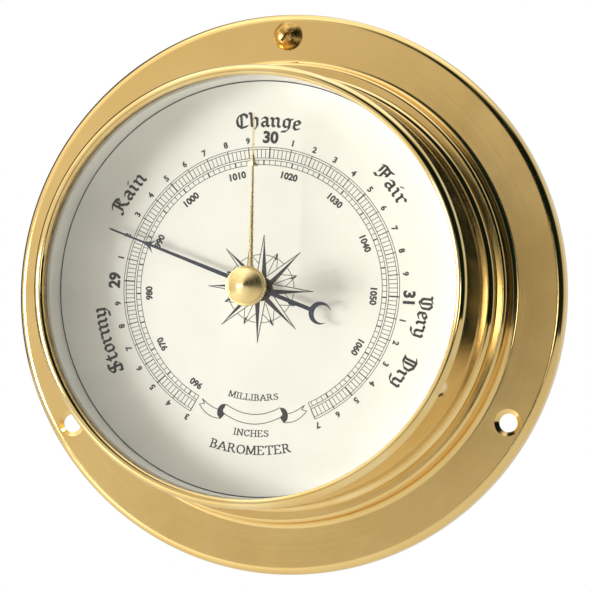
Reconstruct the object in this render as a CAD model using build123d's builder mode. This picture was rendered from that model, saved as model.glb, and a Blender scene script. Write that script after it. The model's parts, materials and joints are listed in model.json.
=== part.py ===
"""Ship barometer: a brass wall-mounting aneroid barometer with a set hand.

Frame: the wall is the plane Y = 0 and the dial faces -Y, with +Z up and +X to
the viewer's right. The origin is the centre of the rim that meets the wall.
Lengths are millimetres. A "height" is a distance from the wall towards the
viewer, so a point at height h lies at Y = -h.
"""
import os
from math import cos, pi, radians, sin, tan

from build123d import *

os.makedirs("parts", exist_ok=True)

# ---------------------------------------------------------------- driving sizes
# Fits
FIT = 0.05  # radial clearance where one fixed piece drops into another
RUN = 0.03  # radial running clearance of pivots and shafts
GAP = 0.35  # least gap between pieces that move past each other
STUD_PROUD = 0.4  # how far a threaded stud stands out of its nut

# Wall flange, and the drum that rises from it
FLANGE_R = 76.0  # outer radius of the wall flange
FLANGE_H = 5.0  # height of the flange's flat face at its outer edge
FLANGE_RISE = 0.4  # extra height of the flange where it meets the barrel
RIM_R = 2.2  # radius of the rolled rim
SHEET = 1.3  # wall of the spun flange and lower barrel
BARREL_R = 61.9  # outer radius of the lower barrel
LEDGE_H = 14.4  # height of the ledge that the bezel sits on
SHOULDER_R = 1.0  # rounding of the lower barrel's shoulder
COVE_R = 1.8  # cove between flange and barrel
SEAT_STEP = 0.4  # depth of the turned seat under the bezel
SEAT_R = 60.25  # outer radius of that seat
NECK_WALL = 1.0  # wall of the drum that holds the dial and the glass
DRUM_FOOT_W = 2.0  # width of the drum's turned-out foot, under the ledge
NECK_H = 47.4  # height of the neck's front rim, which carries the glass

# Bezel
BEZEL_R = 58.1  # outer radius of the bezel's sleeve
BEZEL_WALL = 1.1
LIP_T = 1.2  # thickness of the bezel's lip
BEZEL_LIP_R = 55.4  # radius of the bezel's opening
BEZEL_BEAD_R = 1.2  # radius of the bead round the bezel's foot
BEZEL_BEAD_OUT = 1.0  # how far the bead stands out from the sleeve
BEZEL_BEAD_LIFT = 0.7  # height of the bead's lower edge above the bezel's foot
LIP_OUTER_ROUND = 1.7
LIP_INNER_ROUND = 0.9

# Glass and dial
GLASS_T = 1.6
GASKET_T = 0.4
GASKET_INSET = 0.2  # how far the gasket stops short of the bezel's opening
DIAL_H = 34.7  # height of the printed face
DIAL_T = 0.8
DIAL_BORE_R = 2.6
DIAL_TURN = 3.74  # the dial sits this many degrees clockwise of the case
DIAL_LEDGE_W = 1.8  # how far the dial's ledge reaches in from the neck
DIAL_LEDGE_T = 2.2
REFLECTOR_R = 55.2  # inner radius of the white ring round the dial
REFLECTOR_H = 44.6  # height of the white ring's front edge

# Mounting holes and their screw
HOLE_EDGE = 6.0  # distance of the mounting holes from the flange's edge
HOLE_COUNT = 3
HOLE_R = 2.5
HOLE_SINK_R = 3.7
SINK_ANGLE = 120  # included angle of the countersink
SINK_LIFT = 0.1  # height of the countersink's mouth above the flange's edge
SCREW_HEAD_R = 3.95
SCREW_DOME = 2.1
SCREW_SHANK_R = 2.1
SCREW_LENGTH = 19.0
SCREW_PITCH = 1.5
THREAD_DEPTH = 0.5
THREAD_START_H = -1.0  # height where the thread begins, just behind the wall plane
SCREW_POINT = 4.0  # length of the plain taper at the screw's tip
SCREW_LIFT = 0.05  # clearance under the screw's head
THREAD_FLANK = 0.4  # share of the pitch taken by one flank of the thread
DOME_AT = (0.72, 0.6)  # a point on the head's dome, as shares of its radius and height
CROSS_LENGTH = 4.2
CROSS_W = 0.9
CROSS_DEPTH = 1.5

# Back plate
BACK_H = 1.8  # height of the back plate's rear face
BACK_T = 0.8
LUG_W = 9.0
LUG_DEPTH = 7.0
LUG_T = 5.4
LUG_END = 0.6  # metal left at the blind end of a lug's hole
LUG_ANGLES = (60, 180, 300)
BACK_SCREW_R = 1.3
BACK_SCREW_HEAD_R = 2.3
BACK_SCREW_HEAD_T = 1.1
BACK_SCREW_LENGTH = 4.4
BACK_SLOT_W = 0.7
BACK_SLOT_DEPTH = 0.55
BACK_GAP = 0.3  # radial gap between the back plate and the barrel
VENT_R = 1.2
VENT_CIRCLE_R = 40.0
VENT_COUNT = 6
ACCESS_R = 3.6  # hole that lets a screwdriver reach the adjusting screw

# Movement frame
BASE_R = 34.0
BASE_H = 6.0
BASE_T = 1.6
FOOT_R = 1.6
FOOT_CIRCLE_R = 31.0
FOOT_ANGLES = (60, 180, 300)
FOOT_STUD_R = 1.0
NUT_T = 1.6
NUT_ACROSS = 4.0
PILLAR_R = 1.6
PILLARS = ((22, 18), (22, -18), (-18, 20), (-18, -20))
BRIDGE_H = 22.0
BRIDGE_T = 1.2
TOP_H = 30.0
TOP_T = 1.2
PLATE_MARGIN = 3.0
FRAME_SCREW_R = 0.8
FRAME_SCREW_HEAD_R = 1.6
FRAME_SCREW_HEAD_T = 0.8
FRAME_SCREW_LENGTH = 3.4
FRAME_SLOT_W = 0.5
FRAME_SLOT_DEPTH = 0.4

# Vacuum capsule and mainspring
CAPSULE_R = 19.0
CAPSULE_H = 8.6  # height of the capsule's rear face
CAPSULE_T = 5.0
CAPSULE_SHELL = 0.4
CAPSULE_WAVE = 0.7
CAPSULE_WAVES = 4
CAPSULE_RIM_W = 1.0  # width of the soldered rim
BOSS_T = 0.8  # height of the boss in front of the capsule
BOSS_R = 4.0
STUD_R = 2.0
POST_R = 1.6
POST_TOP = 20.6
SPRING_T = 1.0
SPRING_W = 14.0
SPRING_END = 3.0  # how far the upper limb reaches past the post
SPRING_BEND_OUT = 4.0  # how far the spring's bend lies outside the middle of the block
SPRING_LOW_H = 13.0  # height of the lower limb's rear face
SPRING_BEND_R = 2.0
BLOCK_OUT = 5.0  # how far the middle of the block lies outside the capsule's edge
BLOCK_W = 6.0
BLOCK_GAP = 0.6  # gap between the block and the capsule
CLAMP_SCREW_LENGTH = 3.8
CLAMP_HOLE_DEPTH = 3.2
POST_PIN_R = 0.6
POST_PIN_HALF = 3.0

# Lever, rocker, sector and pinion
LEVER_W = 5.0
LEVER_T = 1.2
LEVER_START_X = -14.0
LEVER_NECK_HALF = 1.0  # half the lever's width at its tip
LEVER_TAPER = (5.0, 3.0)  # where the lever narrows, measured back from the link
LEVER_NOSE = 0.8  # how far the lever reaches past the link
RIVET_HEAD_R = 1.3
RIVET_HEAD_T = 0.5
RIVET_FOOT_T = 0.4
ROCKER_X = 27.0
ROCKER_H = 14.0
ROCKER_R = 1.0
ROCKER_HALF = 8.8
SHORT_ARM = 3.0
ARM_T = 1.2
LINK_PIN_R = 0.4
LINK_W = 1.4
LINK_T = 0.6
LINK_Z = 1.6  # far side of the link
LINK_PIN_LENGTH = 1.9
EYE_PLAY = 0.5  # open room in the short arm's eye round the link's pin
EYE_WALL = 0.7
MODULE = 0.4
PINION_TEETH = 12
SECTOR_TEETH = 120
SECTOR_H = 27.0
SECTOR_T = 0.8
SECTOR_LOW = 153  # first tooth gap of the sector, degrees counter-clockwise from +X
SECTOR_HIGH = 192
TAIL_R = 6.0
TAIL_PIN_R = 0.6
TAIL_WALL = 1.0
CONTACT_H = 26.0  # height where the rocker's long arm meets the tail pin
ARBOR_R = 0.9
ARBOR_SHAKE = 0.3  # end play of an arbor's shoulders
PIVOT_SHORT = 0.1  # how far a pivot stops short of its plate's face
SECTOR_RIM_W = 2.6
SPOKE_W = 1.6
SPOKE_IN = 2.0  # how far in from the ends of the toothed rim the spokes are, degrees
SECTOR_HUB_R = 3.0
TAIL_PIN_REACH = 1.6
PINION_OVERHANG = 0.8  # how far the pinion stands out past the sector on each side
PIVOT_R = 0.45
HAND_ARBOR_R = 0.8

# Hands and setting knob
HAND_H = 37.6
HAND_T = 0.4
HAND_HUB_R = 2.4
HAND_COLLET_R = 2.0
HAND_NECK_R = 1.3  # collet where the hand is pressed on
COLLET_LOW = 0.8  # gap between the dial and the hand's collet
COLLET_PROUD = 0.3
SHAFT_HALF = (0.6, 0.3, 0.25)  # half width of the hand at its hub, at its head and at its tip
TAIL_HALF = 0.5
BARB_HALF = 1.9
BARB_BACK = 3.9  # how far the barbs sweep back from the head's point
READING = 29.2  # pressure at rest, inches of mercury
DEG_PER_INCH = 90.0
HAND_TIP = 44.1
HAND_HEAD = 34.2  # where the hand's barbed head begins to narrow into its tip
MOON_AT = 18.0
MOON_R = 3.0
MOON_BITE_R = 2.4
MOON_SHIFT = 0.76
SET_HAND_H = 46.2
SET_HAND_T = 0.5
SET_HAND_ANGLE = 1.15
SET_HAND_TIP = 45.6
SET_HEAD_BASE = 31.6
SET_HEAD_W = 3.0
SET_HEAD_LENGTH = 3.2
SET_HALF = (0.65, 0.28, 0.12)  # half width of the set hand at its hub, at its head and at its tip
SET_HUB_R = 2.6
SET_NUT_ACROSS = 4.4
SET_NUT_T = 1.0
SPINDLE_R = 1.5
BUSH_WALL = 1.0
BUSH_HEAD_W = 1.5
BUSH_HEAD_T = 0.4
BUSH_RING_W = 1.3
WASHER_W = 1.2
WASHER_SHAKE = 0.05
KNOB_STAND = 1.0  # height of the knob above the glass
KNOB_SOCKET = 1.4  # depth of the spindle's socket in the knob
KNOB_R = 5.3
KNOB_SIDE = 2.0
KNOB_BEVEL = 0.5
KNOB_CONE = 2.3
KNOB_CONE_INSET = 0.8
FLUTE_R = 0.2
KNOB_FLUTES = 48

# Adjusting screw
ADJUST_R = 1.5
ADJUST_HEAD_R = 2.5
ADJUST_HEAD_T = 1.8
ADJUST_TIP_H = 11.5
ADJUST_STAND = 0.8  # gap between the screw's head and the base plate
ADJUST_PLAY = 0.2  # clearance of the screw in the base plate
ADJUST_SLOT_W = 0.8
ADJUST_SLOT_DEPTH = 0.9

# Small movement parts
ROCKER_POST_Z = 10.9
ROCKER_POST_T = 3.0
ROCKER_POST_W = 5.6
PIVOT_SCREW_R = 1.2
PIVOT_SCREW_PROUD = 0.6  # how far a pivot screw stands out of its post
PIVOT_REACH = 1.2  # length of the shaft's end pivots
PIVOT_DEPTH = 1.5  # depth of the pivot's hole from the shaft's shoulder
ROCKER_SHAKE = 0.3
POST_CAP = 0.4
POST_HOLE_DEPTH = 2.6
POST_SCREW_REACH = 2.2
ARM_CAP = 0.4  # how far the long arm reaches past the tail pin's middle
RIVETS_X = (-12.0, -8.0)
CLAMP_Z = (4.5, -4.5)
LEVER_EYE_R = 3.6  # opening in the lever round the capsule's post and pin
LEVER_EYE_WALL = 1.6
HAIRSPRING_START = 1.7
HAIRSPRING_PITCH = 1.2
HAIRSPRING_TURNS = 5
HAIRSPRING_W = 0.16
HAIRSPRING_H = 24.45
COLLET_R = 1.6
COLLET_T = 1.0
HAIRSPRING_STRIP = 0.5  # height of the coiled strip
SPRING_STUD_R = 0.8
COUNTERWEIGHT_AT = 8.6
COUNTERWEIGHT_R = 2.6
COUNTERWEIGHT_T = 1.6
TOOTH_SHARE = 0.40  # tooth thickness at the pitch line, as a share of the pitch
ADDENDUM_SHARE = 0.85
DEDENDUM_SHARE = 1.15
ROOT_FLARE = 0.09  # how much wider a tooth is at its root, each side
TIP_TAPER = 0.13  # how much narrower it is at its tip, each side

# ---------------------------------------------------------------- worked-out sizes
HAND_ANGLE = DIAL_TURN + (READING - 30) * DEG_PER_INCH  # clockwise from +Z
NECK_R = BEZEL_R - BEZEL_WALL - FIT  # neck fits inside the bezel's sleeve
NECK_IN = NECK_R - NECK_WALL
BARREL_IN = BARREL_R - SHEET
DIAL_BACK = DIAL_H - DIAL_T
DIAL_R = NECK_IN - FIT
GLASS_R = NECK_R
GLASS_FRONT = NECK_H + GLASS_T
LIP_UNDER = GLASS_FRONT + GASKET_T
BEZEL_H = LIP_UNDER + LIP_T
BEZEL_FOOT = LEDGE_H - SEAT_STEP
LEDGE_UNDER = BEZEL_FOOT - SHEET
LUG_H = BACK_H + BACK_T
HOLE_CIRCLE_R = FLANGE_R - HOLE_EDGE
BLOCK_X = -(CAPSULE_R + BLOCK_OUT)
SPRING_BEND_X = BLOCK_X - SPRING_BEND_OUT
BACK_R = BARREL_IN - BACK_GAP
BASE_TOP = BASE_H + BASE_T
BRIDGE_TOP = BRIDGE_H + BRIDGE_T
TOP_FRONT = TOP_H + TOP_T
PINION_R = MODULE * PINION_TEETH / 2
SECTOR_R = MODULE * SECTOR_TEETH / 2
SECTOR_X = PINION_R + SECTOR_R  # the sector's pivot, level with the centre
ARM_X = SECTOR_X + TAIL_PIN_R + GAP  # near face of the rocker's long arm
SPRING_TOP_H = SPRING_LOW_H + SPRING_T + 2 * SPRING_BEND_R
LEVER_H = SPRING_TOP_H + SPRING_T
LEVER_TIP_X = ROCKER_X - SHORT_ARM
BUSH_R = SPINDLE_R + RUN + BUSH_WALL
GLASS_BORE_R = BUSH_R + FIT
BUSH_LOW = NECK_H - BUSH_HEAD_T
BUSH_TOP = GLASS_FRONT + BUSH_HEAD_T
WASHER_H = BUSH_TOP + WASHER_SHAKE
SET_NUT_H = SET_HAND_H - SET_NUT_T
KNOB_H = GLASS_FRONT + KNOB_STAND
KNOB_RIM = KNOB_H + KNOB_SIDE
HAND_FRONT = HAND_H + HAND_T
COLLET_TOP = HAND_FRONT + COLLET_PROUD
LEVER_TOP = LEVER_H + LEVER_T
POST_PIN_H = LEVER_H + POST_PIN_R
CAPSULE_MID = CAPSULE_H + CAPSULE_T / 2
CAPSULE_TOP = CAPSULE_H + CAPSULE_T
SPRING_HEAD_H = SPRING_LOW_H + SPRING_T
HAIRSPRING_LOW = HAIRSPRING_H - (COLLET_T - HAIRSPRING_STRIP) / 2
HAIRSPRING_END = HAIRSPRING_START + HAIRSPRING_TURNS * HAIRSPRING_PITCH
HALF_TOOTH = TOOTH_SHARE * pi * MODULE / 2
ADDENDUM = ADDENDUM_SHARE * MODULE
DEDENDUM = DEDENDUM_SHARE * MODULE
SECTOR_RIM_IN = SECTOR_R - SECTOR_RIM_W


# ---------------------------------------------------------------- helpers
def front(height, x=0.0, z=0.0, turn=0.0):
    """A plane facing the viewer: local x is the viewer's right, local y is up."""
    a = radians(turn)
    return Plane(origin=(x, -height, z), x_dir=(cos(a), 0, -sin(a)), z_dir=(0, -1, 0))


def section(x=0.0, z=0.0):
    """A half-section plane: local x is the radius and local y the height."""
    return Plane(origin=(x, 0, z), x_dir=(1, 0, 0), z_dir=(0, 0, -1))


def across(z):
    """The section plane moved sideways, for pieces that lie in an X-height plane."""
    return Plane(origin=(0, 0, z), x_dir=(1, 0, 0), z_dir=(0, 0, -1))


def spin(x=0.0, z=0.0):
    """The axis square to the wall through (x, z)."""
    return Axis((x, 0, z), (0, 1, 0))


def clock(radius, angle):
    """The (x, z) point at a radius and a clockwise angle from +Z."""
    return (radius * sin(radians(angle)), radius * cos(radians(angle)))


def turned(steps, x=0.0, z=0.0, mode=Mode.ADD):
    """Coaxial cylinders square to the wall, each (radius, low height, high height)."""
    for radius, low, high in steps:
        with BuildSketch(front(low, x, z)) as disc:
            Circle(radius)
        extrude(disc.sketch, amount=high - low, mode=mode)


def slot_cut(length, width, depth, top, x=0.0, z=0.0, turn=0.0):
    """A screwdriver slot cut down from the given height."""
    with BuildSketch(front(top - depth, x, z, turn)) as slot:
        Rectangle(length, width)
    extrude(slot.sketch, amount=depth + FIT, mode=Mode.SUBTRACT)


def tooth(radius, angle, root_angle, tip_angle, depth, height):
    """The four corners of one gear tooth, pointing outwards at an angle."""
    corners = []
    for r, half in ((radius - depth, -root_angle), (radius + height, -tip_angle),
                    (radius + height, tip_angle), (radius - depth, root_angle)):
        a = radians(angle + half)
        corners.append((r * cos(a), r * sin(a)))
    return corners


def back_hole_points():
    return [clock(BARREL_IN - LUG_DEPTH / 2, a) for a in LUG_ANGLES]


def foot_points():
    return [clock(FOOT_CIRCLE_R, a) for a in FOOT_ANGLES]


def frame_plate(height, thickness):
    """One plate of the movement's frame: a rounded plate with a tongue for the sector."""
    with BuildSketch(front(height)) as outline:
        for x, z in PILLARS:
            with Locations((x, z)):
                Circle(PLATE_MARGIN)
        make_hull()
        with Locations((SECTOR_X / 2, 0)):
            SlotOverall(SECTOR_X + 2 * PLATE_MARGIN, 2 * PLATE_MARGIN)
        with Locations(*PILLARS):
            Circle(FRAME_SCREW_R + FIT, mode=Mode.SUBTRACT)
    extrude(outline.sketch, amount=thickness)


# ---------------------------------------------------------------- wall flange
with BuildPart() as wall_flange:
    with BuildSketch(section()):
        with BuildLine():
            Line((FLANGE_R, 0), (FLANGE_R, FLANGE_H - RIM_R))
            CenterArc((FLANGE_R - RIM_R, FLANGE_H - RIM_R), RIM_R, 0, 90)
            Line((FLANGE_R - RIM_R, FLANGE_H), (BARREL_R + COVE_R, FLANGE_H + FLANGE_RISE))
            cove = RadiusArc((BARREL_R + COVE_R, FLANGE_H + FLANGE_RISE),
                             (BARREL_R, FLANGE_H + FLANGE_RISE + COVE_R), -COVE_R)
            Line(cove @ 1, (BARREL_R, LEDGE_H - SHOULDER_R))
            CenterArc((BARREL_R - SHOULDER_R, LEDGE_H - SHOULDER_R), SHOULDER_R, 0, 90)
            Polyline((BARREL_R - SHOULDER_R, LEDGE_H), (SEAT_R, LEDGE_H), (SEAT_R, BEZEL_FOOT),
                     (NECK_R, BEZEL_FOOT), (NECK_R, LEDGE_UNDER), (BARREL_IN - SHOULDER_R, LEDGE_UNDER),
                     (BARREL_IN, LEDGE_UNDER - SHOULDER_R), (BARREL_IN, FLANGE_H + FLANGE_RISE - SHEET),
                     (FLANGE_R - RIM_R, FLANGE_H - SHEET))
            CenterArc((FLANGE_R - RIM_R, FLANGE_H - RIM_R), RIM_R - SHEET, 0, 90)
            Line((FLANGE_R - SHEET, FLANGE_H - RIM_R), (FLANGE_R - SHEET, 0))
            Line((FLANGE_R - SHEET, 0), (FLANGE_R, 0))
        make_face()
    revolve(axis=spin())
    for lug in LUG_ANGLES:
        x, z = clock(BARREL_IN + SHEET / 2 - LUG_DEPTH / 2, lug)
        with BuildSketch(front(LUG_H, x, z, lug)):
            Rectangle(LUG_W, LUG_DEPTH)
        extrude(amount=LUG_T)
    for x, z in back_hole_points():
        turned([(BACK_SCREW_R + RUN, LUG_H, LUG_H + LUG_T - LUG_END)], x, z, Mode.SUBTRACT)
    for i in range(HOLE_COUNT):
        x, z = clock(HOLE_CIRCLE_R, i * 360 / HOLE_COUNT)
        with Locations(front(FLANGE_H + SINK_LIFT, x, z)):
            CounterSinkHole(HOLE_R, HOLE_SINK_R, FLANGE_H + SINK_LIFT, SINK_ANGLE)
wall_flange.part.label = "wall_flange"
export_step(wall_flange.part, "parts/wall_flange.step")

# ---------------------------------------------------------------- drum, soldered up through the flange
with BuildPart() as case_drum:
    with BuildSketch(section()):
        with BuildLine():
            Polyline((NECK_R, NECK_H), (NECK_IN, NECK_H), (NECK_IN, DIAL_BACK),
                     (NECK_IN - DIAL_LEDGE_W, DIAL_BACK), (NECK_IN - DIAL_LEDGE_W, DIAL_BACK - DIAL_LEDGE_T),
                     (NECK_IN, DIAL_BACK - DIAL_LEDGE_T - DIAL_LEDGE_W), (NECK_IN, LEDGE_UNDER - NECK_WALL),
                     (NECK_R + DRUM_FOOT_W, LEDGE_UNDER - NECK_WALL), (NECK_R + DRUM_FOOT_W, LEDGE_UNDER),
                     (NECK_R, LEDGE_UNDER), close=True)
        make_face()
    revolve(axis=spin())
case_drum.part.label = "case_drum"
export_step(case_drum.part, "parts/case_drum.step")

# ---------------------------------------------------------------- bezel
with BuildPart() as bezel:
    sleeve_in = BEZEL_R - BEZEL_WALL
    bead_r = BEZEL_R + BEZEL_BEAD_OUT - BEZEL_BEAD_R
    bead_h = BEZEL_FOOT + BEZEL_BEAD_LIFT + BEZEL_BEAD_R
    with BuildSketch(section()):
        with BuildLine():
            Polyline((bead_r, BEZEL_FOOT), (sleeve_in, BEZEL_FOOT), (sleeve_in, LIP_UNDER),
                     (BEZEL_LIP_R, LIP_UNDER), (BEZEL_LIP_R, BEZEL_H - LIP_INNER_ROUND))
            CenterArc((BEZEL_LIP_R + LIP_INNER_ROUND, BEZEL_H - LIP_INNER_ROUND),
                      LIP_INNER_ROUND, 90, 90)
            Line((BEZEL_LIP_R + LIP_INNER_ROUND, BEZEL_H), (BEZEL_R - LIP_OUTER_ROUND, BEZEL_H))
            CenterArc((BEZEL_R - LIP_OUTER_ROUND, BEZEL_H - LIP_OUTER_ROUND), LIP_OUTER_ROUND, 0, 90)
            bead_cut = (BEZEL_BEAD_R ** 2 - (BEZEL_R - bead_r) ** 2) ** 0.5
            Line((BEZEL_R, BEZEL_H - LIP_OUTER_ROUND), (BEZEL_R, bead_h + bead_cut))
            ThreePointArc((BEZEL_R, bead_h + bead_cut), (bead_r + BEZEL_BEAD_R, bead_h),
                          (bead_r, bead_h - BEZEL_BEAD_R))
            Line((bead_r, bead_h - BEZEL_BEAD_R), (bead_r, BEZEL_FOOT))
        make_face()
    revolve(axis=spin())
bezel.part.label = "bezel"
export_step(bezel.part, "parts/bezel.step")

# ---------------------------------------------------------------- glass, gasket, reflector, dial
with BuildPart() as glass:
    with BuildSketch(front(NECK_H)):
        Circle(GLASS_R)
        Circle(GLASS_BORE_R, mode=Mode.SUBTRACT)
    extrude(amount=GLASS_T)
glass.part.label = "glass"
export_step(glass.part, "parts/glass.step")

with BuildPart() as glass_gasket:
    with BuildSketch(front(GLASS_FRONT)):
        Circle(GLASS_R)
        Circle(BEZEL_LIP_R + GASKET_INSET, mode=Mode.SUBTRACT)
    extrude(amount=GASKET_T)
glass_gasket.part.label = "glass_gasket"
export_step(glass_gasket.part, "parts/glass_gasket.step")

with BuildPart() as reflector_ring:
    with BuildSketch(front(DIAL_H)):
        Circle(NECK_IN - FIT)
        Circle(REFLECTOR_R, mode=Mode.SUBTRACT)
    extrude(amount=REFLECTOR_H - DIAL_H)
reflector_ring.part.label = "reflector_ring"
export_step(reflector_ring.part, "parts/reflector_ring.step")

with BuildPart() as dial:
    with BuildSketch(front(DIAL_BACK)):
        Circle(DIAL_R)
        Circle(DIAL_BORE_R, mode=Mode.SUBTRACT)
    extrude(amount=DIAL_T)
dial.part.label = "dial"
export_step(dial.part, "parts/dial.step")

# Posts soldered to the back of the dial, which carry the movement.
with BuildPart() as dial_feet:
    for x, z in foot_points():
        turned([(FOOT_R, BASE_TOP, DIAL_BACK), (FOOT_STUD_R, BASE_H - NUT_T - STUD_PROUD, BASE_TOP)], x, z)
dial_feet.part.label = "dial_feet"
export_step(dial_feet.part, "parts/dial_feet.step")

with BuildPart() as dial_foot_nuts:
    for x, z in foot_points():
        with BuildSketch(front(BASE_H - NUT_T, x, z)):
            RegularPolygon(NUT_ACROSS / 2, 6, major_radius=False)
            Circle(FOOT_STUD_R + RUN, mode=Mode.SUBTRACT)
        extrude(amount=NUT_T)
dial_foot_nuts.part.label = "dial_foot_nuts"
export_step(dial_foot_nuts.part, "parts/dial_foot_nuts.step")

# ---------------------------------------------------------------- back plate and its screws
with BuildPart() as back_plate:
    with BuildSketch(front(BACK_H)):
        Circle(BACK_R)
        for x, z in back_hole_points():
            with Locations((x, z)):
                Circle(BACK_SCREW_R + RUN, mode=Mode.SUBTRACT)
        with Locations((BLOCK_X, 0)):
            Circle(ACCESS_R, mode=Mode.SUBTRACT)
        with PolarLocations(VENT_CIRCLE_R, VENT_COUNT, start_angle=30):
            Circle(VENT_R, mode=Mode.SUBTRACT)
    extrude(amount=BACK_T)
back_plate.part.label = "back_plate"
export_step(back_plate.part, "parts/back_plate.step")

with BuildPart() as back_plate_screws:
    for x, z in back_hole_points():
        head_h = BACK_H - BACK_SCREW_HEAD_T
        turned([(BACK_SCREW_HEAD_R, head_h, BACK_H), (BACK_SCREW_R, BACK_H, BACK_H + BACK_SCREW_LENGTH)],
               x, z)
        with BuildSketch(front(head_h, x, z)) as slot:
            Rectangle(2 * BACK_SCREW_HEAD_R + 1, BACK_SLOT_W)
        extrude(slot.sketch, amount=BACK_SLOT_DEPTH, mode=Mode.SUBTRACT)
back_plate_screws.part.label = "back_plate_screws"
export_step(back_plate_screws.part, "parts/back_plate_screws.step")

# ---------------------------------------------------------------- wall screw in the top hole
with BuildPart() as mounting_screw:
    flat_out = FLANGE_R - RIM_R
    flat_in = BARREL_R + COVE_R
    head_reach = flat_out - (HOLE_CIRCLE_R - SCREW_HEAD_R)
    seat_h = FLANGE_H + FLANGE_RISE * head_reach / (flat_out - flat_in)
    sink_h = seat_h - (HOLE_SINK_R - HOLE_R) / tan(radians(SINK_ANGLE / 2))
    tip_h = seat_h - SCREW_LENGTH
    core_r = SCREW_SHANK_R - THREAD_DEPTH
    with BuildSketch(section(0, HOLE_CIRCLE_R)):
        with BuildLine():
            dome_mid = (SCREW_HEAD_R * DOME_AT[0], seat_h + SCREW_DOME * DOME_AT[1])
            dome = ThreePointArc((0, seat_h + SCREW_DOME), dome_mid,
                                 (SCREW_HEAD_R, seat_h + SCREW_LIFT))
            outline = [dome @ 1, (HOLE_SINK_R - FIT, seat_h + SCREW_LIFT),
                       (HOLE_R - FIT, sink_h + SCREW_LIFT),
                       (SCREW_SHANK_R, sink_h)]
            turn_h = THREAD_START_H
            outline.append((SCREW_SHANK_R, turn_h))
            while turn_h - SCREW_PITCH > tip_h + SCREW_POINT:
                outline.append((core_r, turn_h - THREAD_FLANK * SCREW_PITCH))
                outline.append((core_r, turn_h - (1 - THREAD_FLANK) * SCREW_PITCH))
                outline.append((SCREW_SHANK_R, turn_h - SCREW_PITCH))
                turn_h = turn_h - SCREW_PITCH
            outline.append((core_r, turn_h - THREAD_FLANK * SCREW_PITCH))
            outline.append((0, tip_h))
            outline.append((0, seat_h + SCREW_DOME))
            Polyline(*outline)
        make_face()
    revolve(axis=spin(0, HOLE_CIRCLE_R))
    for turn in (45, 135):
        slot_cut(CROSS_LENGTH, CROSS_W, CROSS_DEPTH, seat_h + SCREW_DOME, 0, HOLE_CIRCLE_R, turn)
mounting_screw.part.label = "mounting_screw"
export_step(mounting_screw.part, "parts/mounting_screw.step")

# ---------------------------------------------------------------- movement frame
with BuildPart() as base_plate:
    with BuildSketch(front(BASE_H)):
        Circle(BASE_R)
        with Locations(*foot_points()):
            Circle(FOOT_STUD_R + RUN, mode=Mode.SUBTRACT)
        with Locations(*PILLARS):
            Circle(FRAME_SCREW_R + FIT, mode=Mode.SUBTRACT)
        Circle(STUD_R + RUN, mode=Mode.SUBTRACT)
        with Locations((BLOCK_X, 0)):
            Circle(ADJUST_R + ADJUST_PLAY, mode=Mode.SUBTRACT)
        with Locations((ROCKER_X, ROCKER_POST_Z), (ROCKER_X, -ROCKER_POST_Z)):
            Circle(FRAME_SCREW_R + FIT, mode=Mode.SUBTRACT)
    extrude(amount=BASE_T)
base_plate.part.label = "base_plate"
export_step(base_plate.part, "parts/base_plate.step")

with BuildPart() as frame_pillars:
    for x, z in PILLARS:
        turned([(PILLAR_R, BASE_TOP, BRIDGE_H), (PILLAR_R, BRIDGE_TOP, TOP_H),
                (FRAME_SCREW_R, BRIDGE_H, BRIDGE_TOP)], x, z)
        bore = FRAME_SCREW_R + FIT
        depth = FRAME_SCREW_LENGTH - BASE_T
        turned([(bore, BASE_TOP, BASE_TOP + depth + 0.2), (bore, TOP_H - depth - 0.6, TOP_H)],
               x, z, Mode.SUBTRACT)
frame_pillars.part.label = "frame_pillars"
export_step(frame_pillars.part, "parts/frame_pillars.step")

with BuildPart() as bridge_plate:
    frame_plate(BRIDGE_H, BRIDGE_T)
    turned([(PIVOT_R + RUN, BRIDGE_H, BRIDGE_TOP)], 0, 0, Mode.SUBTRACT)
    turned([(PIVOT_R + RUN, BRIDGE_H, BRIDGE_TOP)], SECTOR_X, 0, Mode.SUBTRACT)
bridge_plate.part.label = "bridge_plate"
export_step(bridge_plate.part, "parts/bridge_plate.step")

with BuildPart() as top_plate:
    frame_plate(TOP_H, TOP_T)
    turned([(HAND_ARBOR_R + RUN, TOP_H, TOP_FRONT)], 0, 0, Mode.SUBTRACT)
    turned([(PIVOT_R + RUN, TOP_H, TOP_FRONT)], SECTOR_X, 0, Mode.SUBTRACT)
top_plate.part.label = "top_plate"
export_step(top_plate.part, "parts/top_plate.step")

with BuildPart() as frame_screws:
    for x, z in PILLARS:
        turned([(FRAME_SCREW_HEAD_R, BASE_H - FRAME_SCREW_HEAD_T, BASE_H),
                (FRAME_SCREW_R, BASE_H, BASE_H + FRAME_SCREW_LENGTH),
                (FRAME_SCREW_R, TOP_FRONT - FRAME_SCREW_LENGTH, TOP_FRONT),
                (FRAME_SCREW_HEAD_R, TOP_FRONT, TOP_FRONT + FRAME_SCREW_HEAD_T)], x, z)
        slot_cut(2 * FRAME_SCREW_HEAD_R + 1, FRAME_SLOT_W, FRAME_SLOT_DEPTH, TOP_FRONT + FRAME_SCREW_HEAD_T,
                 x, z)
frame_screws.part.label = "frame_screws"
export_step(frame_screws.part, "parts/frame_screws.step")


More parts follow.
